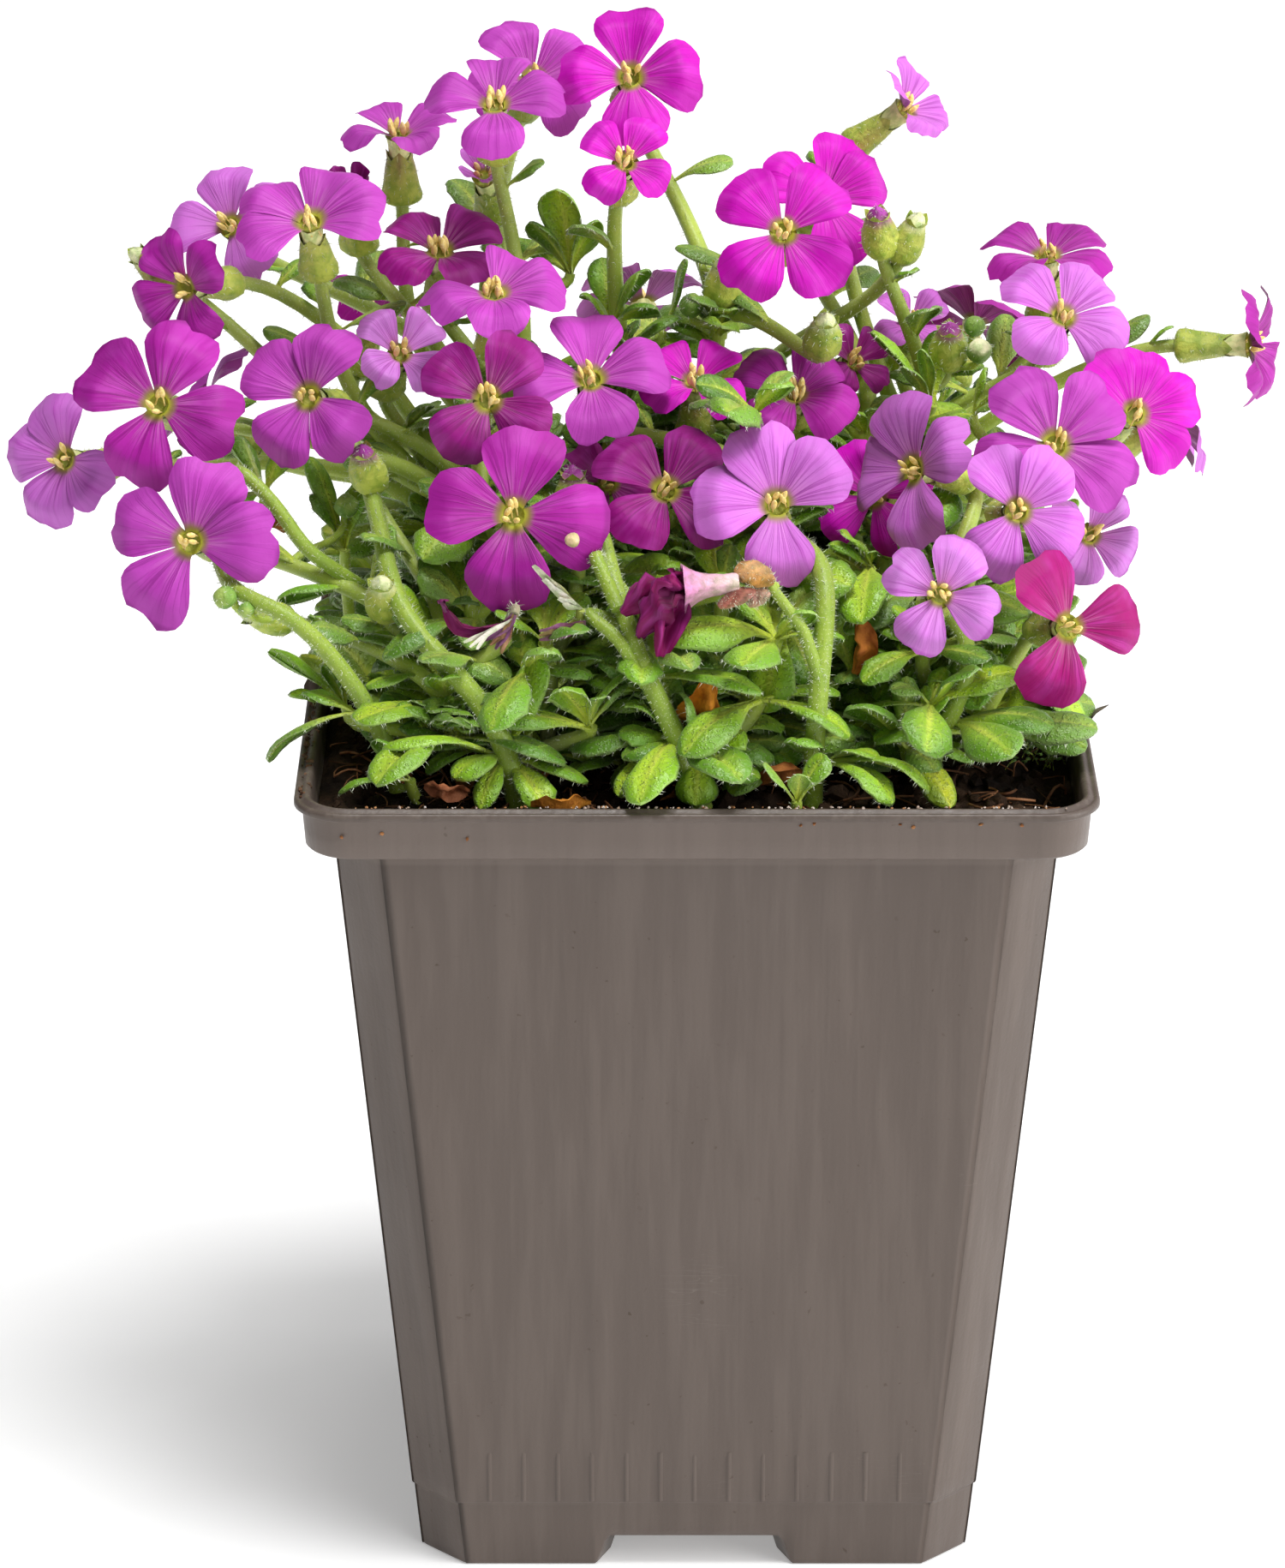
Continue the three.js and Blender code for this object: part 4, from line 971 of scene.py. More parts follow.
def fits(leaf):
    """True where a filling leaf meets no flower or soil, and doesn't cover one of the placed leaves."""
    p = leaf_points(leaf)
    if not is_clear(p[1:], 0.25).all() or (np.abs(p[p[:, 2] < MAT_LOW, :2]) > MAT_HALF).any():
        return False
    # Bare soil shows on the right, and the wall's inside on the left.
    depth = p[:, 1] - FORWARD[1] / FORWARD[2] * (p[:, 2] - SOIL_TOP)
    if ((p[:, 0] > 27) & (depth < -15)).any() or ((p[:, 0] < -38) & (depth < 0)).any():
        return False
    d = p[:, None] - SEEN_POINTS[None]
    along = d @ FORWARD
    off = np.linalg.norm(d - along[..., None] * FORWARD, axis=-1)
    in_front = (along > 0.3) & (along < 24) & (off < 2.7)
    return not (in_front | (np.abs(along) < 0.6) & (off < 1.3)).any()


def fitted(base, heading, rise, droop, roll, length, width):
    for share in SHARES:
        for more in (0, 0.25, 0.5):
            leaf = (base, heading, min(rise + more, 1.5), droop, roll, length * share, width * share)
            if fits(leaf):
                return leaf
    return None


def extra_leaves(root, rosettes, flowers):
    """Leaves that close the mat: along the stems and stalks, in each rosette's heart, and on the ground."""
    random = draws(5000 + root)
    made = []

    def grow(base, heading, rise, droop, roll, length, width, kind):
        angles = (math.radians(v) for v in (rise, droop, roll))
        leaf = fitted(base, heading, *angles, LEAF_LENGTH * length, LEAF_WIDTH * width)
        if leaf is not None:
            made.append((leaf, FINE if leaf[5] > 7 else COARSE, kind))

    for rosette in rosettes:
        hub, way, first = rosette["hub"], rosette["way"], rosette["first"]
        count = int(np.linalg.norm(hub - way[0]) / LEAF_GAP)
        for i in range(count):
            base = bezier(*way, 1 - (i + 0.8) / (count + 1))
            if base[2] < SOIL_TOP + 2:
                continue
            size = 0.62 + 0.35 * random()
            grow(base, math.radians(first + SPIRAL * i + 20 * random()), 8 + 40 * random(),
                 10 + 45 * random(), -25 + 50 * random(), size, 0.1 + size * 0.95, pick("MMDGB", random()))
        for t in (0.45, 0.7):
            base, turn = bezier(*way, t), 360 * random()
            for j in range(6):
                size = 0.8 * (0.75 + 0.3 * random())
                grow(base, math.radians(turn + 60 * j + 15 * random()), 5 + 45 * random(),
                     20 + 40 * random(), -20 + 40 * random(), size, size * 1.05, pick("MDDGMB", random()))
        for i in range(7):
            size = 0.50 - 0.04 * i + 0.08 * random()
            base, turn = hub + 0.5 * rosette["lean"], math.radians(first + 30 + SPIRAL * i)
            grow(base, turn, 42 + 6 * i + 10 * random(), 12 + 20 * random(), -15 + 30 * random(),
                 size, size * 1.1, "GBGM"[i % 4])
    for flower in flowers:
        for t in (0.22, 0.8):
            size = 0.32 + 0.2 * random()
            base, turn = bezier(*flower["way"], t), 6.28 * random()
            grow(base, turn, 30 + 25 * random(), 28, 0, size, size, "GM"[t > 0.5])
    for i in range(9):
        for j in range(9):
            x, y = -36 + 9 * i + 4 * random() - 2, -36 + 9 * j + 4 * random() - 2
            spot = np.array([x, y, SOIL_TOP + 1.6 + 3.5 * random()])
            turn, bare = 360 * random(), x > 26 and y < -12 and x - y > 46
            if bare or not in_cell(root, spot, 0)[0]:
                continue
            for q in range(8):
                size = 0.70 + 0.35 * random()
                grow(spot, math.radians(turn + 45 * q + 20 * random()), 14 + 44 * random(),
                     20 + 45 * random(), -25 + 50 * random(), size, size, "MDMBGMDY"[int(7.2 * random()) % 8])
    return made


def side_stalk(build, hairs, hub, seed, thick=0.8, tint=FRESH):
    """A side stalk from the nearest lower place on a stem, or from the soil where that is too far."""
    too_far, too_high = 14, np.where(STALK_POINTS[:, 2] > hub[2] - 1.5, 40, 0)
    cost = np.linalg.norm(STALK_POINTS - hub, axis=1) + too_high
    start = STALK_POINTS[cost.argmin()]
    if cost.min() > too_far:
        start = np.array([hub[0] * 0.96, hub[1] * 0.96, SOIL_TOP - 1])
    reach = np.linalg.norm(hub - start)
    first = start + 0.3 * reach * unit(hub - start + 0.3 * reach * UP)
    path = bezier(start, first, hub - 0.35 * reach * UP, hub, np.linspace(0, 1, 9))
    hairy_tube(build, hairs, path, thick, 0.8 * thick, tint, seed, 1.2)


def add_thick_stalks(stalks, hairs, seed):
    """The thick stalks in front, each drawn up to a flower's foot where one is near."""
    feet = [foot for foot, _, is_bud in ends if not is_bud]
    for k, (points, thin, thick) in enumerate(STALKS):
        away = [np.linalg.norm(foot - points[0]) for foot in feet]
        if 1 < min(away) < 13:
            points = [feet[np.argmin(away)], *points]
        path = stalk_path(points)
        tints = graded((0.31, 0.40, 0.055), (0.27, 0.39, 0.035), len(path))
        hairy_tube(stalks, hairs, path, thin, thick, tints, seed + 1 + k, 3.5, 10)


def add_round_buds(stalks, sepals, hairs, seed):
    for k, (foot, out, radius, top) in enumerate(ROUND_BUDS):
        side_stalk(stalks, hairs, np.array(foot), seed + k, 0.55)
        round_bud(sepals, hairs, np.array(foot), unit(np.array(out)), radius, top, seed + k + 1)


def make_plant(root):
    rosettes, flowers = plants[root]
    leaves, stalks, sepals, hairs = Build(), Build(), Build(), Build()
    random, seed = draws(9000 + root), 1000 * root
    for rosette in rosettes:
        path = bezier(*rosette["way"], np.linspace(0, 1, 12))
        hairy_tube(stalks, hairs, path, 1.0, 0.85, graded((0.30, 0.30, 0.14), FRESH, 12), seed + 1, 0.8)
        for leaf in rosette["leaves"]:
            seed += 1
            if leaf is not None:
                add_leaf(leaves, hairs, leaf, seed, green(random, "MBMGD"[seed % 5]))
    for flower in flowers:
        seed += 1
        path = bezier(*flower["way"], np.linspace(0, 1, 14))
        hairy_tube(stalks, hairs, path, 1.05, 0.78, graded(FRESH, (0.40, 0.48, 0.10), 14), seed, 1.0)
        if flower["number"] not in WILTED:
            calyx_or_bud(sepals, hairs, flower["foot"], flower["out"], flower["is_bud"], flower["number"])
        for leaf in flower["leaves"]:
            add_leaf(leaves, hairs, leaf, seed, green(random, "G"))
    for shoot in SEEN:
        if shoot["root"] == root:
            side_stalk(stalks, hairs, shoot["hub"], seed)
            for leaf, kind in shoot["leaves"]:
                seed += 1
                add_leaf(leaves, hairs, leaf, seed, green(random, kind))
    for leaf, grid, kind in extra_leaves(root, rosettes, flowers):
        seed += 1
        add_leaf(leaves, hairs, leaf, seed, green(random, kind), grid)
    if root == 0:
        add_thick_stalks(stalks, hairs, seed)
    if root == 4:
        add_round_buds(stalks, sepals, hairs, seed)
    # The root's neck, where it comes out of the peat.
    neck = [(*ROOTS[root][:2], z) for z in (91, 94, 97, 99.2, 100.6, 101.4)]
    tube(stalks, neck, (1.9, 2.0, 2.1, 3.2, 4.2, 2.0), 12, [(0.12, 0.09, 0.05)] * 3 + [(0.2, 0.22, 0.08)] * 3)
    number = "%02d" % (root + 1)
    leaves.piece("leaves_" + number, LEAF, "leafy_stem", ["leafy_stem_" + number])
    stalks.piece("stalks_" + number, STALK, "leafy_stem")
    sepals.piece("calyces_" + number, CALYX, "leafy_stem")
    hairs.piece("down_" + number, HAIR, "leafy_stem")


# Flowers


def petal_points(head, turn, random):
    """One petal as a fan of veins from the throat: rows run outwards, columns across."""
    radius, cup = head["radius"], head["cup"]
    rows, columns, crowding = 15, 17, 1.45
    s = np.linspace(0.0, 1, rows) ** 0.9
    u = np.sin(np.linspace(-1, 1, columns) * crowding) / math.sin(crowding)
    uu, ss = np.meshgrid(u, s)
    size = 0.95 + 0.08 * random()
    # The outline: broad, with a notch in the middle, a little lopsided and frayed.
    outline = 0.56 + 0.48 * np.sqrt(np.clip(1 - np.abs(uu) ** (2.2 + 1.4 * random()), 0, 1))
    outline -= (0.02 + 0.07 * random()) * np.exp(-((uu - 0.3 * (random() - 0.5)) / 0.17) ** 2)
    outline += 0.16 * (random() - 0.5) * uu * (1 - 0.6 * uu * uu)
    outline += 0.016 * np.sin(8 * uu + 6 * random()) + 0.010 * np.sin(17 * uu + 6 * random())
    fan = math.radians(36 + 5 * random()) * (1 + 0.24 * (1 - smooth(0.0, 0.16, ss)))
    run = 0.12 + ss * (outline * size - 0.12)
    reach = radius * run * (1 - 0.5 * cup * run)
    angle = math.radians(turn) + fan * uu
    # How far it lifts: cupped, its rim bent down, tilted, waved, and creased beside its middle.
    lift = radius * ((0.08 + cup) * run + 0.12 * np.sin(run * 2.8)) - 0.3
    lift -= radius * (0.10 + 0.16 * random()) * smooth(0.70, 1.08, run)
    lift += radius * ((random() - 0.5) * 0.22 + 0.04) * uu * run
    lift += radius * (0.03 + 0.035 * random()) * np.sin(4.6 * uu + 6 * random()) * run ** 2
    lift += radius * 0.07 * (np.abs(uu) - 0.4) * run * (1 if random() > 0.45 else -1)
    lift -= radius * 0.08 * random() * np.abs(uu) ** 4 * run
    lift += radius * 0.012 * np.sin(15 * uu + 6 * random()) * run * smooth(0.2, 0.6, run)
    p = head["at"] + (reach * np.cos(angle))[..., None] * head["side"]
    p = p + (reach * np.sin(angle))[..., None] * head["up"] + lift[..., None] * head["out"]
    return p, uu, run


def make_flower(k, head):
    random = draws(400 + 7 * k, 3)
    petals, parts, pollen = Build(), Build(), Build()
    at, out, side, up = head["at"], head["out"], head["side"], head["up"]
    spin = 45 - 14 + 28 * random()
    crosswise = [spin + 90 * q + 8 * (random() - 0.5) for q in range(4)]
    for turn in TURNS.get(k, crosswise):
        points, uu, run = petal_points(head, turn, random)
        shade = np.array(TINTS[head["tint"]]) * (0.88 + 0.22 * random())
        petals.add(points, grid_faces(*uu.shape), np.stack([uu, run], -1), shade)
    # The claws close into a tube that runs down into the calyx.
    neck = at + np.outer((-5.5, -4, -2.2, -1.0, -0.35, 0.1), out)
    lobes = 1 + 0.10 * np.cos(4 * circle(16))
    cream, radii = (0.92, 0.90, 0.42), (0.95, 1.1, 1.18, 1.22, 1.33, 1.5)
    tube(parts, neck, radii, 16, cream, lobes, cap=False, start=side)
    throat = at + np.outer((0.12, -0.15, -0.4, -0.6), out)
    shades = [(0.44, 0.43, 0.03), (0.40, 0.40, 0.03), (0.36, 0.36, 0.04), (0.32, 0.32, 0.04)]
    tube(parts, throat, (1.48, 1.2, 0.8, 0.3), 12, shades)
    # Four to six anthers on their filaments.
    for w in (0.6, 1.4, 3.6, 4.4, 2.5, 5.4)[:4 + int(2.3 * random())]:
        w += 0.5 * random() + spin
        foot = at + (0.58 + 0.42 * random()) * (math.cos(w) * side + math.sin(w) * up)
        lean = unit(out + 0.9 * (random() - 0.5) * side + (0.9 * random() - 0.1) * up)
        foot = foot + out * (0.1 + 0.7 * random())
        tube(pollen, foot - np.outer((1.4, 0.7, 0.0), lean), (0.12, 0.11, 0.10), 5, cap=False)
        anther = foot + np.outer(np.linspace(0, 1.75, 7), lean)
        lobes = 1 + 0.12 * np.cos(2 * circle(8))
        tube(pollen, anther, (0.12, 0.27, 0.33, 0.34, 0.32, 0.24, 0.09), 8, lobes=lobes)
    number = "%02d" % (k + 1)
    petals.piece("petals_" + number, PETAL, "bloom", ["bloom_" + number])
    parts.piece("throat_" + number, CALYX, "bloom")
    pollen.piece("anthers_" + number, POLLEN, "bloom")


def ribbon(build, path, widths, across, tint, crumple, seed, columns=7):
    """A limp strip along a path, folded lengthwise, for withered petals and dead leaves."""
    rng = np.random.default_rng(seed)
    rows = 13
    t = np.linspace(0, 1, rows)
    line = softened(resampled(np.array(path, float), np.linspace(0, 1, len(path)), t), 2)
    width = np.interp(t, np.linspace(0, 1, len(widths)), widths)[:, None]
    along = units(np.gradient(line, axis=0))
    across = np.array(across)
    side = np.array([unit(across - a * (a @ across)) for a in along])
    normal = np.cross(along, side)
    uu, tt = np.meshgrid(np.linspace(-1, 1, columns), t)
    lift = crumple * width * (
        np.sin(3.4 * uu + rng.uniform(0, 6)) + 0.5 * np.sin(8 * tt + 5 * uu + rng.uniform(0, 6))
        + 0.35 * np.sin(17 * tt - 4 * uu + rng.uniform(0, 6))
    )
    half = 0.5 * width * uu * (1 + 0.12 * np.sin(13 * tt + rng.uniform(0, 6)))
    points = line[:, None] + half[..., None] * side[:, None] + lift[..., None] * normal[:, None]
    build.add(points, grid_faces(rows, columns), np.stack([uu, 0.3 + 0.7 * tt], -1), tint)


def crumpled_flower(flesh, sepals, stalk, hairs):
    """A spent crimson flower, its tube and the shrunken lumps behind it."""
    neck = np.array([-1.6, -33.6, 122.6])
    for i, (mid, end, wide) in enumerate((
        ((-4.4, -35.6, 121.8), (-6.6, -35.4, 117.4), 4.8), ((-5.0, -34.0, 122.8), (-8.4, -34.0, 119.6), 4.2),
        ((-2.8, -35.0, 120.4), (-4.0, -35.6, 115.0), 4.0), ((-3.4, -32.8, 120.8), (-6.4, -32.6, 116.2), 4.4),
        ((-2.2, -34.6, 123.4), (-3.2, -35.2, 124.8), 2.6),
    )):
        tint = np.array(TINTS["W"]) * (0.8 + 0.25 * i % 0.6)
        across = (1, 0.4 * i - 0.6, 0.5)
        ribbon(flesh, [neck, mid, end], [1.2, wide, wide * 0.95, 1.2], across, tint, 0.27, 60 + i, 17)
    # Its tube is pale, ribbed and flares towards the petals.
    w = circle(20)
    lobes = 1 + 0.16 * np.cos(5 * w) + 0.07 * np.cos(9 * w + 1)
    streak = (0.5 + 0.5 * np.cos(5 * w))[:, None] * (1 - 0.6 * np.linspace(0, 1, 9)[:, None, None])
    tints = graded((0.62, 0.22, 0.48), (0.86, 0.66, 0.62), 9)[:, None]
    tints = mix(tints, np.array((0.62, 0.20, 0.40)), 0.45 * streak)
    path = np.linspace(neck, (4.6, -33.0, 122.9), 9)
    tube(sepals, path, (2.5, 1.95, 1.55, 1.3, 1.15, 1.1, 1.0, 1.05, 1.1), 20, tints, lobes, cap=False)
    t = np.linspace(0.04, 0.96, 15)[:, None]
    folds = np.sin(13 * t + 2 * w) * np.cos(3 * w + 9 * t)
    for a, b, r, tint in (
        ((4.0, -32.6, 123.6), (8.6, -32.4, 122.4), 1.5, (0.62, 0.30, 0.10)),
        ((7.0, -33.2, 121.6), (2.2, -33.8, 120.2), 0.95, (0.60, 0.22, 0.18)),
        ((8.2, -33.0, 121.4), (5.6, -33.6, 120.2), 0.9, (0.66, 0.36, 0.30)),
    ):
        line = mix(np.array(a), np.array(b), t) + np.sin(np.pi * t) * (0, 0, 0.5 * r)
        # Painted light and shade: each lump is painted lighter on its ridges and darker in its folds.
        tone = np.array(tint) * (0.8 + 0.45 * folds)[..., None] + 0.05 * np.cos(2 * w + 4 * t)[..., None]
        radii = r * np.sin(np.pi * t) ** 0.5 * (1 + 0.10 * folds)
        rings = tube(sepals, line, radii, 20, np.clip(tone, 0.02, 0.9))
        stem_hairs(hairs, rings, int(10 * r), 6.0)
    foot = ends[WILTED[0]][0]
    path = bezier(foot, foot + [2, 1, 5], (11.5, -31.5, 121.5), (8.2, -32.4, 122.2), np.linspace(0, 1, 14))
    hairy_tube(stalk, hairs, path, 0.62, 0.62, FRESH, 5, 1.4)


def curled_flower(flesh, sepals, stalk, hairs):
    """A spent flower: a dark curled strip, three white claws and a shrivelled calyx."""
    crimson = np.array(TINTS["W"])
    strip = [(-20.4, -36.2, 119.9), (-23.4, -37.2, 118.5), (-26.6, -37.0, 118.9), (-28.2, -35.6, 121.4)]
    ribbon(flesh, strip, [0.8, 2.0, 2.6, 0.7], (0.2, -0.6, 1), crimson, 0.16, 71)
    tip = [(-27.8, -36.0, 120.4), (-28.6, -35.6, 121.6), (-27.6, -35.0, 121.5)]
    ribbon(flesh, tip, [2.0, 1.6, 0.4], (0.3, -1, 0), crimson * 0.6, 0.1, 72)
    ways = ((0.2, (-25.9, -38.0, 117.6)), (-0.1, (-25.2, -38.0, 117.0)), (0.0, (-24.4, -37.6, 116.6)))
    for i, (lift, end) in enumerate(ways):
        claw = [(-20.5, -36.6, 119.7), (-23.2, -37.6, 118.5 + lift), end]
        ribbon(sepals, claw, [0.5, 0.8, 0.9, 0.4], (0, -0.5, 1), (0.82, 0.76, 0.66), 0.08, 75 + i, 5)
    for i in range(4):
        end = (-23.6 + 0.6 * i, -37.0, 117.4 - 0.5 * i)
        sepal = [(-20.3, -36.4, 120.3), (-21.2, -37.0, 118.9 - 0.3 * i), end]
        tint = ((0.24, 0.08, 0.20), (0.40, 0.20, 0.10))[i % 2]
        ribbon(sepals, sepal, [0.7, 1.3, 0.3], (1, -0.4, 0.3 * i), tint, 0.16, 80 + i, 5)
    foot = ends[WILTED[1]][0]
    path = bezier(foot, foot + [0, 0, 2], (-19.6, -35.0, 122.0), (-20.3, -36.2, 120.2), np.linspace(0, 1, 9))
    hairy_tube(stalk, hairs, path, 0.55, 0.55, (0.30, 0.26, 0.16), 6, 1.4)


def shed_flower(sepals, stalk, hairs):
    """A flower without its petals: a sheaf of cream claws over a green foot, and its fallen sepals."""
    for i in range(7):
        tip = np.array([-18.2 + 0.55 * i, -31.6 + 0.5 * math.sin(2.1 * i), 124.4 - 0.75 * i])
        mid = mix(np.array([-13.0, -30.6, 118.9]), tip, 0.55) + [0, -0.4, 0.3 * math.sin(1.7 * i)]
        claw = [(-12.9, -30.4, 118.8), mid, tip]
        tint = ((0.84, 0.80, 0.64), (0.78, 0.74, 0.42), (0.86, 0.80, 0.72))[i % 3]
        ribbon(sepals, claw, [0.5, 1.0, 1.1, 0.6], (0.6, -0.5, 0.6), tint, 0.09, 90 + i, 5)
    side_stalk(stalk, hairs, np.array([-12.9, -30.4, 118.7]), 7, 0.7, (0.42, 0.46, 0.08))
    for i, tint in enumerate(((0.42, 0.14, 0.34), (0.62, 0.36, 0.20), (0.34, 0.12, 0.28))):
        sepal = [(-12.4, -31.4, 117.4), (-14.6, -32.2, 117.2 - 0.3 * i), (-17.6, -32.2, 116.8 - 0.5 * i)]
        ribbon(sepals, sepal, [0.8, 1.5, 1.2, 0.4], (0, -0.6, 1), tint, 0.14, 100 + i, 5)


def make_withered():
    flesh, sepals, stalk, hairs = Build(), Build(), Build(), Build()
    crumpled_flower(flesh, sepals, stalk, hairs)
    curled_flower(flesh, sepals, stalk, hairs)
    shed_flower(sepals, stalk, hairs)
    flesh.piece("withered_petals", PETAL, "bloom", ["bloom_38", "bloom_39"])
    sepals.piece("withered_tubes", CALYX, "bloom")
    stalk.piece("withered_stalks", STALK, "leafy_stem")
    hairs.piece("withered_down", HAIR, "leafy_stem")


# Pot

# Places along a side from corner to corner, as shares of its half, closer where the notch's ends are.
HALF_SIDE = [0.35, 0.372, 0.395, 0.405, 0.428, 0.437, *np.linspace(0.46, 0.92, 9), 0.97, 1]
SIDE = np.array([*(-t for t in reversed(HALF_SIDE)), *np.linspace(-0.3, 0.3, 13), *HALF_SIDE])
CORNER = 12
# The radius of the root ball's corners inside the collar.
SOIL_CORNER = 4.4
UNDERSIDE = NOTCH_HEIGHT - 0.01
# The drain holes: x, y and radius.
DRAINS = [(0, 0, 4.5)] + [(17 * a, 17 * b, 3.5) for a in (-1, 1) for b in (-1, 1)]
# The collar, from the shelf out, up over the lip and down inside: height, half width, corner radius.
COLLAR = [
    (SHELF, BODY_TOP_HALF + 0.5, 5.2), (SHELF, COLLAR_HALF - 1.0, 5.3),
    (SHELF + 0.12, COLLAR_HALF - 0.55, 5.4), (SHELF + 0.45, COLLAR_HALF - 0.3, 5.4),
    (SHELF + 2.5, COLLAR_HALF - 0.15, 5.4), (POT_HEIGHT - 1.6, COLLAR_HALF, 5.4),
    (POT_HEIGHT - 1.25, COLLAR_HALF + 0.1, 5.5), (POT_HEIGHT - 1.18, LIP_HALF - 0.2, 5.9),
    (POT_HEIGHT - 1.0, LIP_HALF, 6), (POT_HEIGHT - 0.6, LIP_HALF, 6), (POT_HEIGHT - 0.32, LIP_HALF - 0.12, 6),
    (POT_HEIGHT - 0.22, LIP_HALF - 0.4, 5.8), (POT_HEIGHT - 0.42, LIP_HALF - 0.62, 5.7),
    (POT_HEIGHT - 0.4, LIP_HALF - 0.8, 5.6), (POT_HEIGHT - 0.05, LIP_HALF - 1.05, 5.4),
    (POT_HEIGHT, LIP_HALF - 1.35, 5.2), (POT_HEIGHT - 0.15, LIP_HALF - 1.7, 4.9),
    (POT_HEIGHT - 0.6, COLLAR_HALF - WALL, 4.6),
    (SHELF + 3, COLLAR_HALF - WALL - 0.1, 4.6), (SHELF + WALL + 0.3, COLLAR_HALF - WALL - 0.2, 4.6),
    (SHELF + WALL, COLLAR_HALF - WALL - 0.7, 4.6),
]


def bend(start, corner, end):
    """Four points of a soft bend."""
    return [(1 - t) ** 2 * start + 2 * t * (1 - t) * corner + t * t * end for t in (0.2, 0.4, 0.6, 0.8)]


def outline(half, radius=0):
    """A square's perimeter with round corners, or with cut ones: the same number of points in all."""
    c = half - (radius or CHAMFER)
    points = [(half, c * t) for t in SIDE]
    if radius:
        for i in range(1, CORNER + 1):
            w = math.radians(90 * i / (CORNER + 1))
            points.append((c + radius * math.cos(w), c + radius * math.sin(w)))
    else:
        soft = 0.9
        a, b = np.array([half, c]), np.array([c, half])
        cut = soft * unit(b - a)
        points += bend(a - [0, soft], a, a + cut)
        points += [mix(a, b, t) for t in (0.3, 0.43, 0.57, 0.7)]
        points += bend(b - cut, b, b - [soft, 0])
    return np.vstack([turned(np.array(points), math.radians(90 * q)) for q in range(4)])


def ring_at(z, half, radius=0):
    """An outline at one height, or at a height for each of its points."""
    ring = outline(half, radius)
    return np.column_stack([ring, np.broadcast_to(z, len(ring))])


def drain_ring(x, y, r):
    return np.column_stack([x + r * np.cos(circle(24)), y + r * np.sin(circle(24))])


def body_half(z):
    return mix(BASE_HALF, BODY_TOP_HALF, z / SHELF)


def arch(x):
    """Height of the foot's underside at a distance x from the middle of its side."""
    w = NOTCH_WIDTH / 2
    rise = np.interp(np.abs(x), [0, w - 1.0, w - 0.4, w - 0.05, w + 0.25, w + 0.8], [1, 1, 0.92, 0.6, 0.2, 0])
    return NOTCH_HEIGHT * rise


def add_floor(build, ring, z, upward):
    """A flat sheet that fills a ring but for the drain holes."""
    loops = [ring[:, :2], *(drain_ring(*drain) for drain in DRAINS)]
    corners, edges = [], []
    for loop in loops:
        edges += [(len(corners) + i, len(corners) + (i + 1) % len(loop)) for i in range(len(loop))]
        corners += [tuple(map(float, p)) for p in loop]
    made, _, tris, *_ = delaunay_2d_cdt(corners, edges, [], 0, 1e-5)
    flat = np.array([(p.x, p.y) for p in made])
    kept = []
    for tri in tris:
        x, y = flat[list(tri)].mean(0)
        inside = max(abs(x), abs(y)) < BASE_HALF and abs(x) + abs(y) < 2 * BASE_HALF - CHAMFER - 1
        if inside and all((x - u) ** 2 + (y - v) ** 2 > (r * 0.98) ** 2 for u, v, r in DRAINS):
            kept.append(tri if upward else tri[::-1])
    build.add(np.column_stack([flat, np.full(len(flat), z)]), kept)


def make_pot():
    build = Build()
    along = np.tile(np.concatenate([SIDE, np.full(CORNER, 1.5)]), 4)
    lift = np.where(np.abs(along) < 1, arch(along * (BASE_HALF - CHAMFER)), 0)
    # Foot, from its inner wall round its edge, then the body and the collar, and down inside.
    step = BASE_HALF - STEP_DEPTH
    levels = [
        (UNDERSIDE, BASE_HALF - FOOT_WIDTH), (lift, BASE_HALF - FOOT_WIDTH), (lift, step - 0.35),
        (lift + 0.12, step - 0.08), (lift + 0.4, step),
    ]
    levels += [(z, body_half(z) - STEP_DEPTH) for z in (4.6, 6.5, 8.0, 8.45)]
    levels += [(STEP_HEIGHT, body_half(STEP_HEIGHT) - 0.1)]
    levels += [(z, body_half(z)) for z in (8.85, 11, 14, 15.4, 20, 30, 40, 50, 60, 70, 80, 88, 92)]
    levels += [(SHELF - 0.7, BODY_TOP_HALF - 0.03), (SHELF - 0.2, BODY_TOP_HALF + 0.05), *COLLAR]
    levels += [(SHELF + WALL, BODY_TOP_HALF - WALL + 0.3), (SHELF, BODY_TOP_HALF - WALL)]
    levels += [(FLOOR, body_half(FLOOR) - WALL)]
    points = np.array([ring_at(*level) for level in levels])
    # Shallow waves in the outer sheet, from its foot to the shelf.
    sheet = points[4:24]
    x, y, z = sheet[..., 0], sheet[..., 1], sheet[..., 2]
    sideways = np.abs(x) > np.abs(y)
    t = np.where(sideways, y, x)
    wave = 0.05 * np.sin(t * 2.1 + 0.7) + 0.035 * np.sin(t * 5.3 + z * 0.05)
    wave = wave * (np.abs(along) < 0.93) * smooth(9, 14, z) * smooth(SHELF, SHELF - 10, z)
    outward = np.where(sideways, np.sign(x), 0), np.where(sideways, 0, np.sign(y))
    sheet[..., 0] += wave * outward[0]
    sheet[..., 1] += wave * outward[1]
    build.add(points, grid_faces(len(points), points.shape[1], True))
    add_floor(build, points[-1], FLOOR, True)
    add_floor(build, points[0], UNDERSIDE, False)
    for drain in DRAINS:
        ring = drain_ring(*drain)
        wall = [np.column_stack([ring, np.full(len(ring), z)]) for z in (FLOOR, UNDERSIDE)]
        build.add(np.vstack(wall), grid_faces(2, len(ring), True))
    build.piece("nursery_pot", POT, "pot", ["pot"])


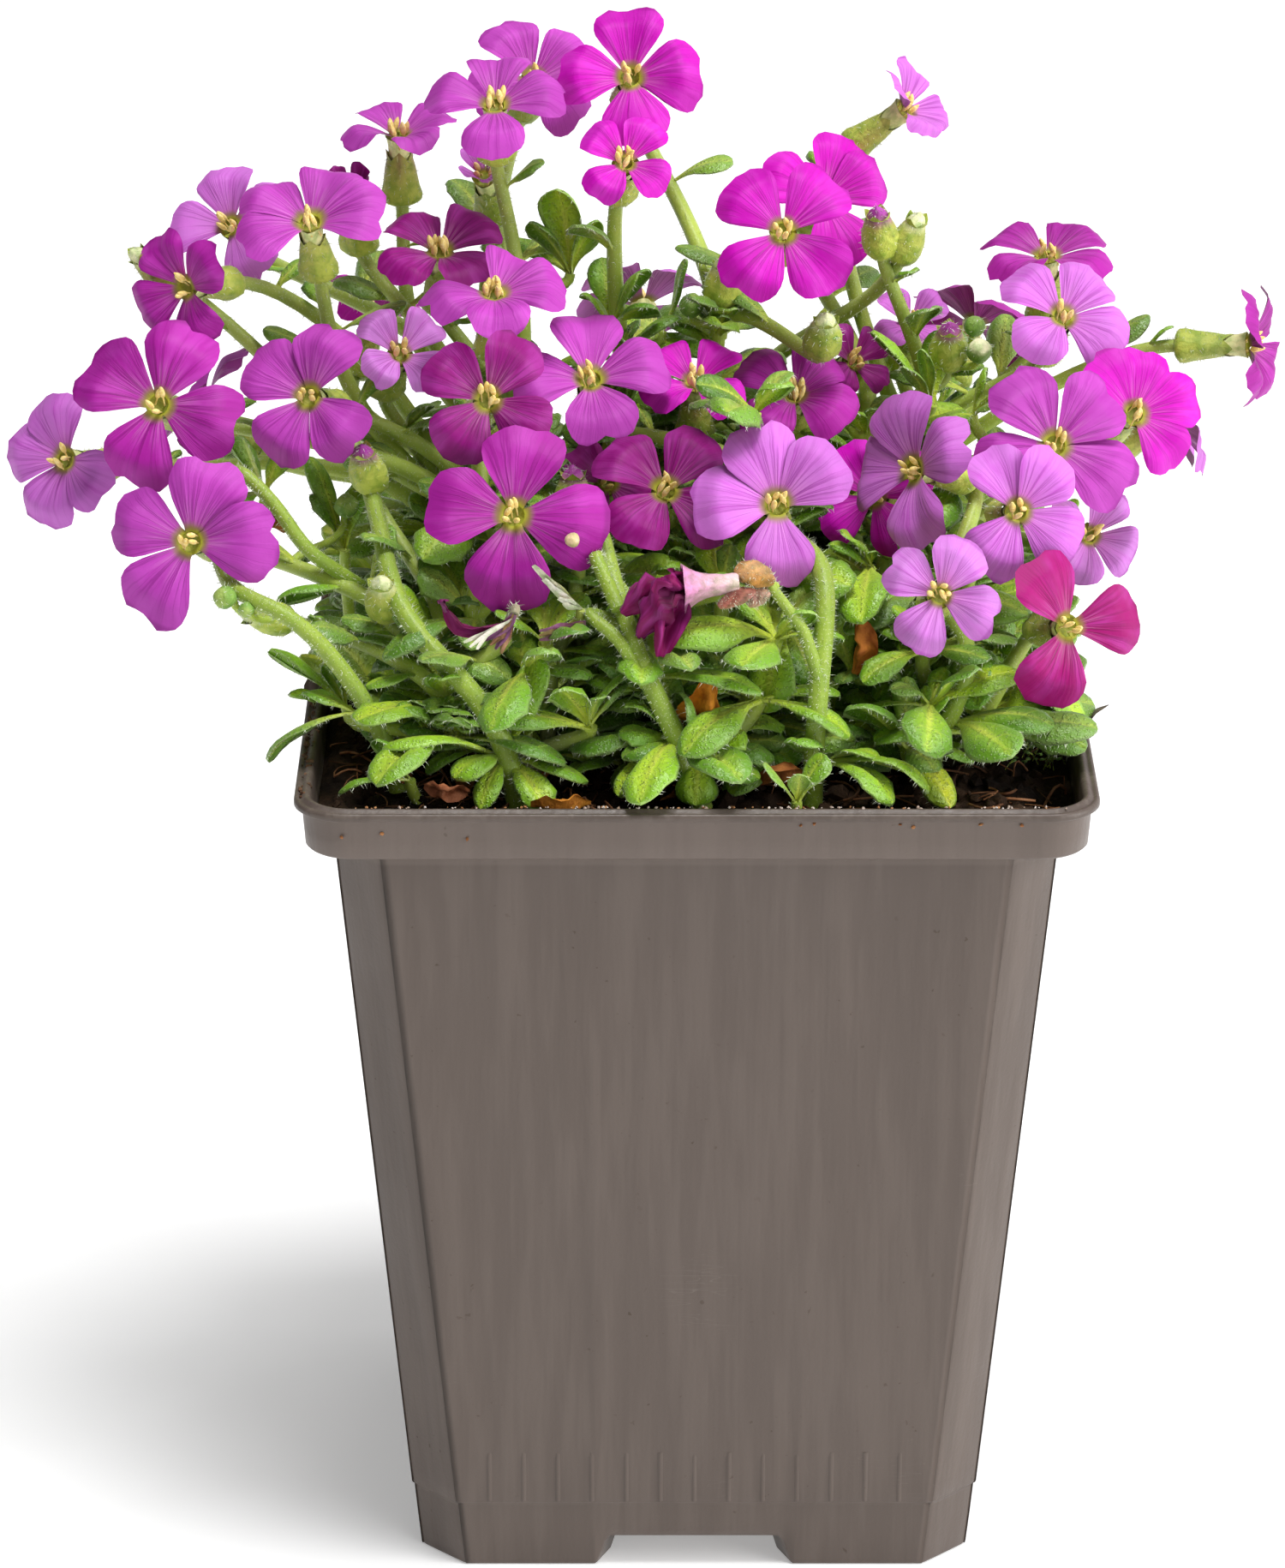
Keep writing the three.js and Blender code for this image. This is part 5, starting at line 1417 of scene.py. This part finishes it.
def make_ribs():
    """Thirteen short upright ribs over the step on each side of the pot."""
    build = Build()
    for q in range(4):
        for x in np.linspace(-24, 24, 13):
            profile = []
            for z in (STEP_HEIGHT + 0.3, 9.5, 13, 14.8, 15.5):
                lift = 0.14 if z < 15 else 0.0
                for dx, rise in ((-0.35, -0.05), (-0.12, lift), (0.12, lift), (0.35, -0.05)):
                    profile.append((x + dx, -(body_half(z) + rise), z))
            build.add(turned(np.array(profile), math.radians(90 * q)), grid_faces(5, 4))
    build.piece("pot_ribs", POT, "pot")


# Soil

CRUMBS, FIBRES = 1500, 520
# A grain starts as a solid with twelve corners and twenty faces.
GOLD = (1 + 5 ** 0.5) / 2
GRAIN = np.array([
    (-1, GOLD, 0), (1, GOLD, 0), (-1, -GOLD, 0), (1, -GOLD, 0), (0, -1, GOLD), (0, 1, GOLD),
    (0, -1, -GOLD), (0, 1, -GOLD), (GOLD, 0, -1), (GOLD, 0, 1), (-GOLD, 0, -1), (-GOLD, 0, 1),
]) / 1.9
GRAIN_FACES = [
    (0, 11, 5), (0, 5, 1), (0, 1, 7), (0, 7, 10), (0, 10, 11), (1, 5, 9), (5, 11, 4), (11, 10, 2), (10, 7, 6),
    (7, 1, 8), (3, 9, 4), (3, 4, 2), (3, 2, 6), (3, 6, 8), (3, 8, 9), (4, 9, 5), (2, 4, 11), (6, 2, 10),
    (8, 6, 7), (9, 8, 1),
]


def grain(build, rng, at, size, tint=(1, 1, 1)):
    """One crumb of peat: a broken, squashed lump."""
    p = GRAIN * rng.uniform(0.6, 1.25, (12, 1)) * rng.uniform(0.5, 1.0, 3) * size
    build.add(turned(p, rng.uniform(0, 6.28)) + at, GRAIN_FACES, None, tint)


def peat_surface(rng, reach, count):
    """The uneven top of the peat, lower along the walls, with its corners pulled in."""
    t = np.linspace(-reach, reach, count)
    x, y = np.meshgrid(t, t)
    z = np.full_like(x, SOIL_TOP)
    for wave, height in ((0.11, 0.5), (0.27, 0.4), (0.7, 0.35), (1.7, 0.25)):
        for _ in range(5):
            a = rng.uniform(0, 2 * np.pi)
            z += height * 0.5 * np.sin(wave * (x * np.cos(a) + y * np.sin(a)) * 2 + rng.uniform(0, 6))
    z += rng.normal(0, 0.14, x.shape)
    wide = np.maximum(np.abs(x), np.abs(y))
    z -= 2.0 * smooth(34, reach, wide) * smooth(-30, 20, x - y) + 0.8 * np.clip(wide - reach + 1.5, 0, None)
    z = np.clip(z, SOIL_TOP - 2.4, SOIL_TOP + 1.6)
    straight = reach - SOIL_CORNER
    corner = np.hypot(np.clip(np.abs(x) - straight, 0, None), np.clip(np.abs(y) - straight, 0, None))
    pull = np.where(corner > SOIL_CORNER, SOIL_CORNER / np.maximum(corner, 1e-6), 1)

    def pulled(v):
        past = np.abs(v) - straight
        return np.sign(v) * np.where(past > 0, straight + past * pull, np.abs(v))

    return t, np.stack([pulled(x), pulled(y), z], -1)


def make_soil():
    rng = np.random.default_rng(71)
    build, crumbs, fibres = Build(), Build(), Build()
    reach, count = COLLAR_HALF - WALL - GAP, 120
    t, surface = peat_surface(rng, reach, count)
    build.add(surface, grid_faces(count, count))
    # The root ball's sides and underside.
    bottom, shelf = FLOOR + GAP, SHELF + WALL + GAP
    rings = np.array([
        ring_at(bottom, body_half(bottom) - WALL - GAP), ring_at(shelf, BODY_TOP_HALF - WALL - GAP - 0.1),
        ring_at(shelf + 0.05, reach - 0.1, SOIL_CORNER), ring_at(SOIL_TOP - 1.0, reach - 0.1, SOIL_CORNER),
    ])
    sides = rings.shape[1]
    build.add(rings, grid_faces(len(rings), sides, True))
    build.add(np.vstack([rings[0], [[0, 0, bottom]]]), np.array(fan_faces(sides))[:, [1, 0, 2]])
    build.piece("peat", PEAT, "soil", ["soil"])

    def level(x, y):
        return float(surface[np.abs(t - y).argmin(), np.abs(t - x).argmin(), 2])

    for _ in range(CRUMBS):
        x, y = rng.uniform(-MOUTH, MOUTH, 2)
        size = rng.uniform(0.3, 1.1) if rng.random() > 0.08 else rng.uniform(1.1, 2.0)
        grain(crumbs, rng, np.array([x, y, level(x, y) + 0.25 * size]), size)
    crumbs.piece("peat_crumbs", PEAT, "soil", smooth_faces=False)
    for _ in range(FIBRES):
        x, y = rng.uniform(-MOUTH, MOUTH, 2)
        a, length = rng.uniform(0, 6.28), rng.uniform(2, 8)
        s = np.linspace(0, 1, 6)
        bend_x, bend_y, bend_z = rng.normal(0, 0.9, 3)
        path = np.column_stack([
            np.clip(x + math.cos(a) * length * (s - 0.5) + bend_x * np.sin(3 * s), -42, 42),
            np.clip(y + math.sin(a) * length * (s - 0.5) + bend_y * np.sin(3 * s), -42, 42),
            level(x, y) + 0.4 + abs(bend_z) * np.sin(np.pi * s),
        ])
        tone = np.array((0.24, 0.11, 0.05)) * rng.uniform(0.4, 1.8)
        tube(fibres, path, np.full(6, rng.uniform(0.08, 0.2)), 4, tone, cap=False)
    fibres.piece("peat_fibres", DRY, "soil")


# Litter

# The larger dead leaves: path, widths, direction across, and colour.
DEAD = [
    ([(0.6, -31.5, 103.5), (0.2, -34.6, 107.5), (1.6, -34.4, 112.0)],
     [0.8, 5.2, 4.6, 1.2], (1, 0.2, 0.1), (0.80, 0.30, 0.02)),
    ([(17.8, -26.0, 109.5), (19.4, -27.2, 113.0), (18.2, -26.6, 116.8)],
     [0.8, 2.6, 3.0, 0.5], (1, -0.5, 0), (0.50, 0.16, 0.02)),
    ([(-25.5, -37.5, 99.6), (-28.0, -39.4, 100.6), (-30.5, -38.4, 100.8)],
     [0.8, 3.0, 2.6, 0.8], (0, -0.6, 1), (0.34, 0.12, 0.05)),
    ([(-12.0, -38.5, 98.6), (-15.5, -40.6, 99.2), (-18.5, -39.8, 99.0)],
     [0.8, 3.6, 3.4, 0.8], (0.2, -1, 0.6), (0.72, 0.28, 0.03)),
    ([(6.0, -34.0, 99.5), (10.0, -36.5, 101.5), (13.5, -36.0, 101.0)],
     [0.6, 3.4, 3.0, 0.6], (0, -0.8, 1), (0.40, 0.14, 0.03)),
    ([(32.0, -19.0, 99.5), (36.0, -22.5, 101.0), (38.5, -21.0, 99.8)],
     [0.5, 2.4, 2.0, 0.5], (0, -0.8, 1), (0.46, 0.22, 0.10)),
    ([(-49.4, -3.2, 123.2), (-48.6, -4.8, 121.0), (-47.2, -5.0, 119.2)],
     [0.4, 2.4, 2.0, 0.4], (1, -0.4, 0), (0.48, 0.20, 0.03)),
]
SMALL_DEAD, SEEDLINGS, LEFT_GRIT, FRONT_GRIT = 34, 46, 300, 120
# Brown specks on the collar's front: x and z.
SPECKS = (
    (11.5, 98.2), (13.0, 98.4), (22.5, 98.3), (24.0, 98.0), (31.5, 98.3), (36.0, 98.2), (-25.5, 96.6),
    (-35.0, 97.2), (-39.5, 96.8),
)


def make_dead_leaves(rng):
    """Dead leaves in the mat, and smaller ones on the peat under it."""
    build = Build()
    for i, (path, widths, across, tint) in enumerate(DEAD):
        ribbon(build, path, widths, across, tint, 0.20, 200 + i, 13)
    for i in range(SMALL_DEAD):
        x, y, a = rng.uniform(-38, 38), rng.uniform(-40, 38), rng.uniform(0, 6.28)
        run = np.array([math.cos(a), math.sin(a), 0]) * rng.uniform(1.5, 3.2)
        at = np.array([x, y, SOIL_TOP + 1.2])
        tint = np.array((0.34, 0.13, 0.04)) * rng.uniform(0.5, 1.6)
        path, across = [at - run, at + UP, at + run], (-run[1], run[0], 0.2)
        ribbon(build, path, [0.3, 2.4, 2.2, 0.3], across, tint, 0.14, 300 + i, 5)
    build.piece("dead_leaves", DRY, "leafy_stem")


def make_seedlings(rng):
    """A tuft of tiny weeds on the bare peat."""
    build = Build()
    for i in range(SEEDLINGS):
        x, y = 38 + rng.normal(0, 2.2), -15.5 + rng.normal(0, 2.2)
        at = np.array([x, y, SOIL_TOP + rng.uniform(-1.6, 0.0)])
        heading = rng.uniform(0, 6.28)
        top = at + [0.7 * math.cos(heading), 0.7 * math.sin(heading), rng.uniform(0.5, 1.4)]
        tube(build, np.linspace(at, top, 3), (0.07, 0.06, 0.05), 4, (0.34, 0.42, 0.10), cap=False)
        leaf = (top, heading, 0.5, 0.5, 0.0, rng.uniform(0.7, 1.3), rng.uniform(0.5, 0.8))
        add_leaf(build, None, leaf, 4000 + i, (0.26, 0.48, 0.06), COARSE)
    build.piece("seedlings", LEAF, "soil")


def make_resin_drop():
    """A drop of resin on a petal of a flower in front."""
    build, radius = Build(), 0.85
    t = np.linspace(0.03, 0.97, 9)
    path = np.array((-13.9, -28.2, 126.2)) + np.outer(-radius * np.cos(np.pi * t), heads[18]["out"])
    # Painted shade and light: the drop is painted darker where it sits on the petal and lighter at its crown.
    tints = np.array((0.90, 0.62, 0.40)) * np.linspace(0.8, 1.05, 9)[:, None]
    tube(build, path, radius * np.sin(np.pi * t), 14, tints, 1 + 0.05 * np.cos(3 * circle(14)))
    build.piece("resin_drop", CALYX, "bloom")


def make_torn_rim():
    """A torn flap of the rim on the right, and a smaller one on the left."""
    build, white = Build(), (1, 1, 1)
    right = [(44.0, -19.0, 99.2), (44.6, -19.2, 101.0), (45.6, -19.4, 102.6), (47.2, -19.0, 103.2)]
    ribbon(build, right, [3.2, 2.8, 1.7, 0.2], (0, 1, 0), white, 0.03, 400)
    left = [(-44.2, -6.0, 99.4), (-44.4, -4.0, 101.2), (-43.6, -1.0, 102.0)]
    ribbon(build, left, [1.8, 2.6, 2.0, 0.8], (1, 0, 0.5), white, 0.08, 401)
    build.piece("torn_rim", POT, "pot")


def make_grit(rng):
    """Peat grit on the left rim, paler grains along the front one, and specks under it."""
    build = Build()
    for _ in range(LEFT_GRIT):
        at = np.array([-43.4 - 1.1 * rng.random(), rng.uniform(-40, 30), 99.9 - 1.6 * rng.random() ** 2])
        size, tint = rng.uniform(0.15, 0.55), np.array((0.10, 0.055, 0.03)) * rng.uniform(0.4, 2.2)
        grain(build, rng, at, size, tint)
    for _ in range(FRONT_GRIT):
        at = np.array([rng.uniform(-38, 42), -43.1 - 0.5 * rng.random(), 100.0])
        size = rng.uniform(0.10, 0.28)
        tint = ((0.55, 0.47, 0.42), (0.62, 0.56, 0.52), (0.40, 0.20, 0.08))[rng.integers(3)]
        grain(build, rng, at, size, tint)
    for x, z in SPECKS:
        grain(build, rng, np.array([x, -COLLAR_HALF - 0.02, z]), 0.32, (0.42, 0.19, 0.07))
    build.piece("rim_grit", DRY, "soil", smooth_faces=False)


make_pot()
make_ribs()
make_soil()
for root in range(len(ROOTS)):
    make_plant(root)
for k, head in enumerate(heads):
    if k not in WILTED:
        make_flower(k, head)
make_withered()
litter = np.random.default_rng(9)
make_dead_leaves(litter)
make_seedlings(litter)
make_resin_drop()
make_torn_rim()
make_grit(litter)


# Floor, light and camera, in metres

mesh = bpy.data.meshes.new("floor")
mesh.from_pydata([(-6, -6, 0), (6, -6, 0), (6, 6, 0), (-6, 6, 0)], [], [(0, 1, 2, 3)])
floor = placed("floor", mesh)
paper = Nodes("floor_paper")
away = paper.node("VectorMath", {0: paper.place()}, operation="LENGTH").outputs["Value"]
mesh.materials.append(paper.principled(
    Base_Color=paper.blend(paper.noise(3, 2), (0.84, 0.84, 0.84), (0.87, 0.87, 0.87)), Roughness=0.9,
    Specular_IOR_Level=0.1, Emission_Color=(1.0, 1.0, 1.0),
    Emission_Strength=paper.ramp(away, 0.2, 1.8, 0.30, 0.66),
))

# The studio's walls: dim on the left, bright on the right.
world = bpy.data.worlds.new("studio")
scene.world = world
world.use_nodes = True
nodes, links = world.node_tree.nodes, world.node_tree.links
place, parts, ramp = (nodes.new("ShaderNode" + kind) for kind in ("TexCoord", "SeparateXYZ", "MapRange"))
links.new(place.outputs["Generated"], parts.inputs[0])
links.new(parts.outputs[0], ramp.inputs["Value"])
for key, value in (("From Min", -0.8), ("From Max", 1), ("To Min", 0.0), ("To Max", 0.94)):
    ramp.inputs[key].default_value = value
nodes["Background"].inputs["Color"].default_value = (1, 1, 1, 1)
links.new(ramp.outputs[0], nodes["Background"].inputs["Strength"])


def area(name, place, size, power):
    """A round lamp that points at the middle of the pot's mouth."""
    light = bpy.data.lights.new(name, "AREA")
    light.shape, light.size, light.energy = "DISK", size, power
    made = placed(name, light)
    made.location = place
    made.rotation_mode = "QUATERNION"
    made.rotation_quaternion = (Vector((0, 0, POT_HEIGHT / 1000)) - Vector(place)).to_track_quat("-Z", "Y")


area("right", (1.05, -0.45, 0.50), 1.0, 10.5)
area("top", (0.12, -0.2, 1.25), 0.5, 12.0)

# The fitted lens, in pixels of the photograph, the photograph's width and the sensor's.
FOCAL, PHOTO_WIDTH, SENSOR = 7716.3, 1500, 36
# The camera's place in millimetres, and how far it looks down, in degrees.
EYE, DOWN = (-6.07, -727.2, 365.2), 20.99
camera = bpy.data.cameras.new("camera")
camera.sensor_fit, camera.sensor_width, camera.lens = "HORIZONTAL", SENSOR, FOCAL / PHOTO_WIDTH * SENSOR
camera.clip_start, camera.clip_end = 0.05, 20
view = placed("camera", camera)
view.location = tuple((np.array(EYE) + SHIFT) / 1000)
view.rotation_euler = (math.radians(90 - DOWN), 0, 0)
scene.camera = view
scene.view_settings.view_transform = "Standard"
scene.view_settings.look = "None"
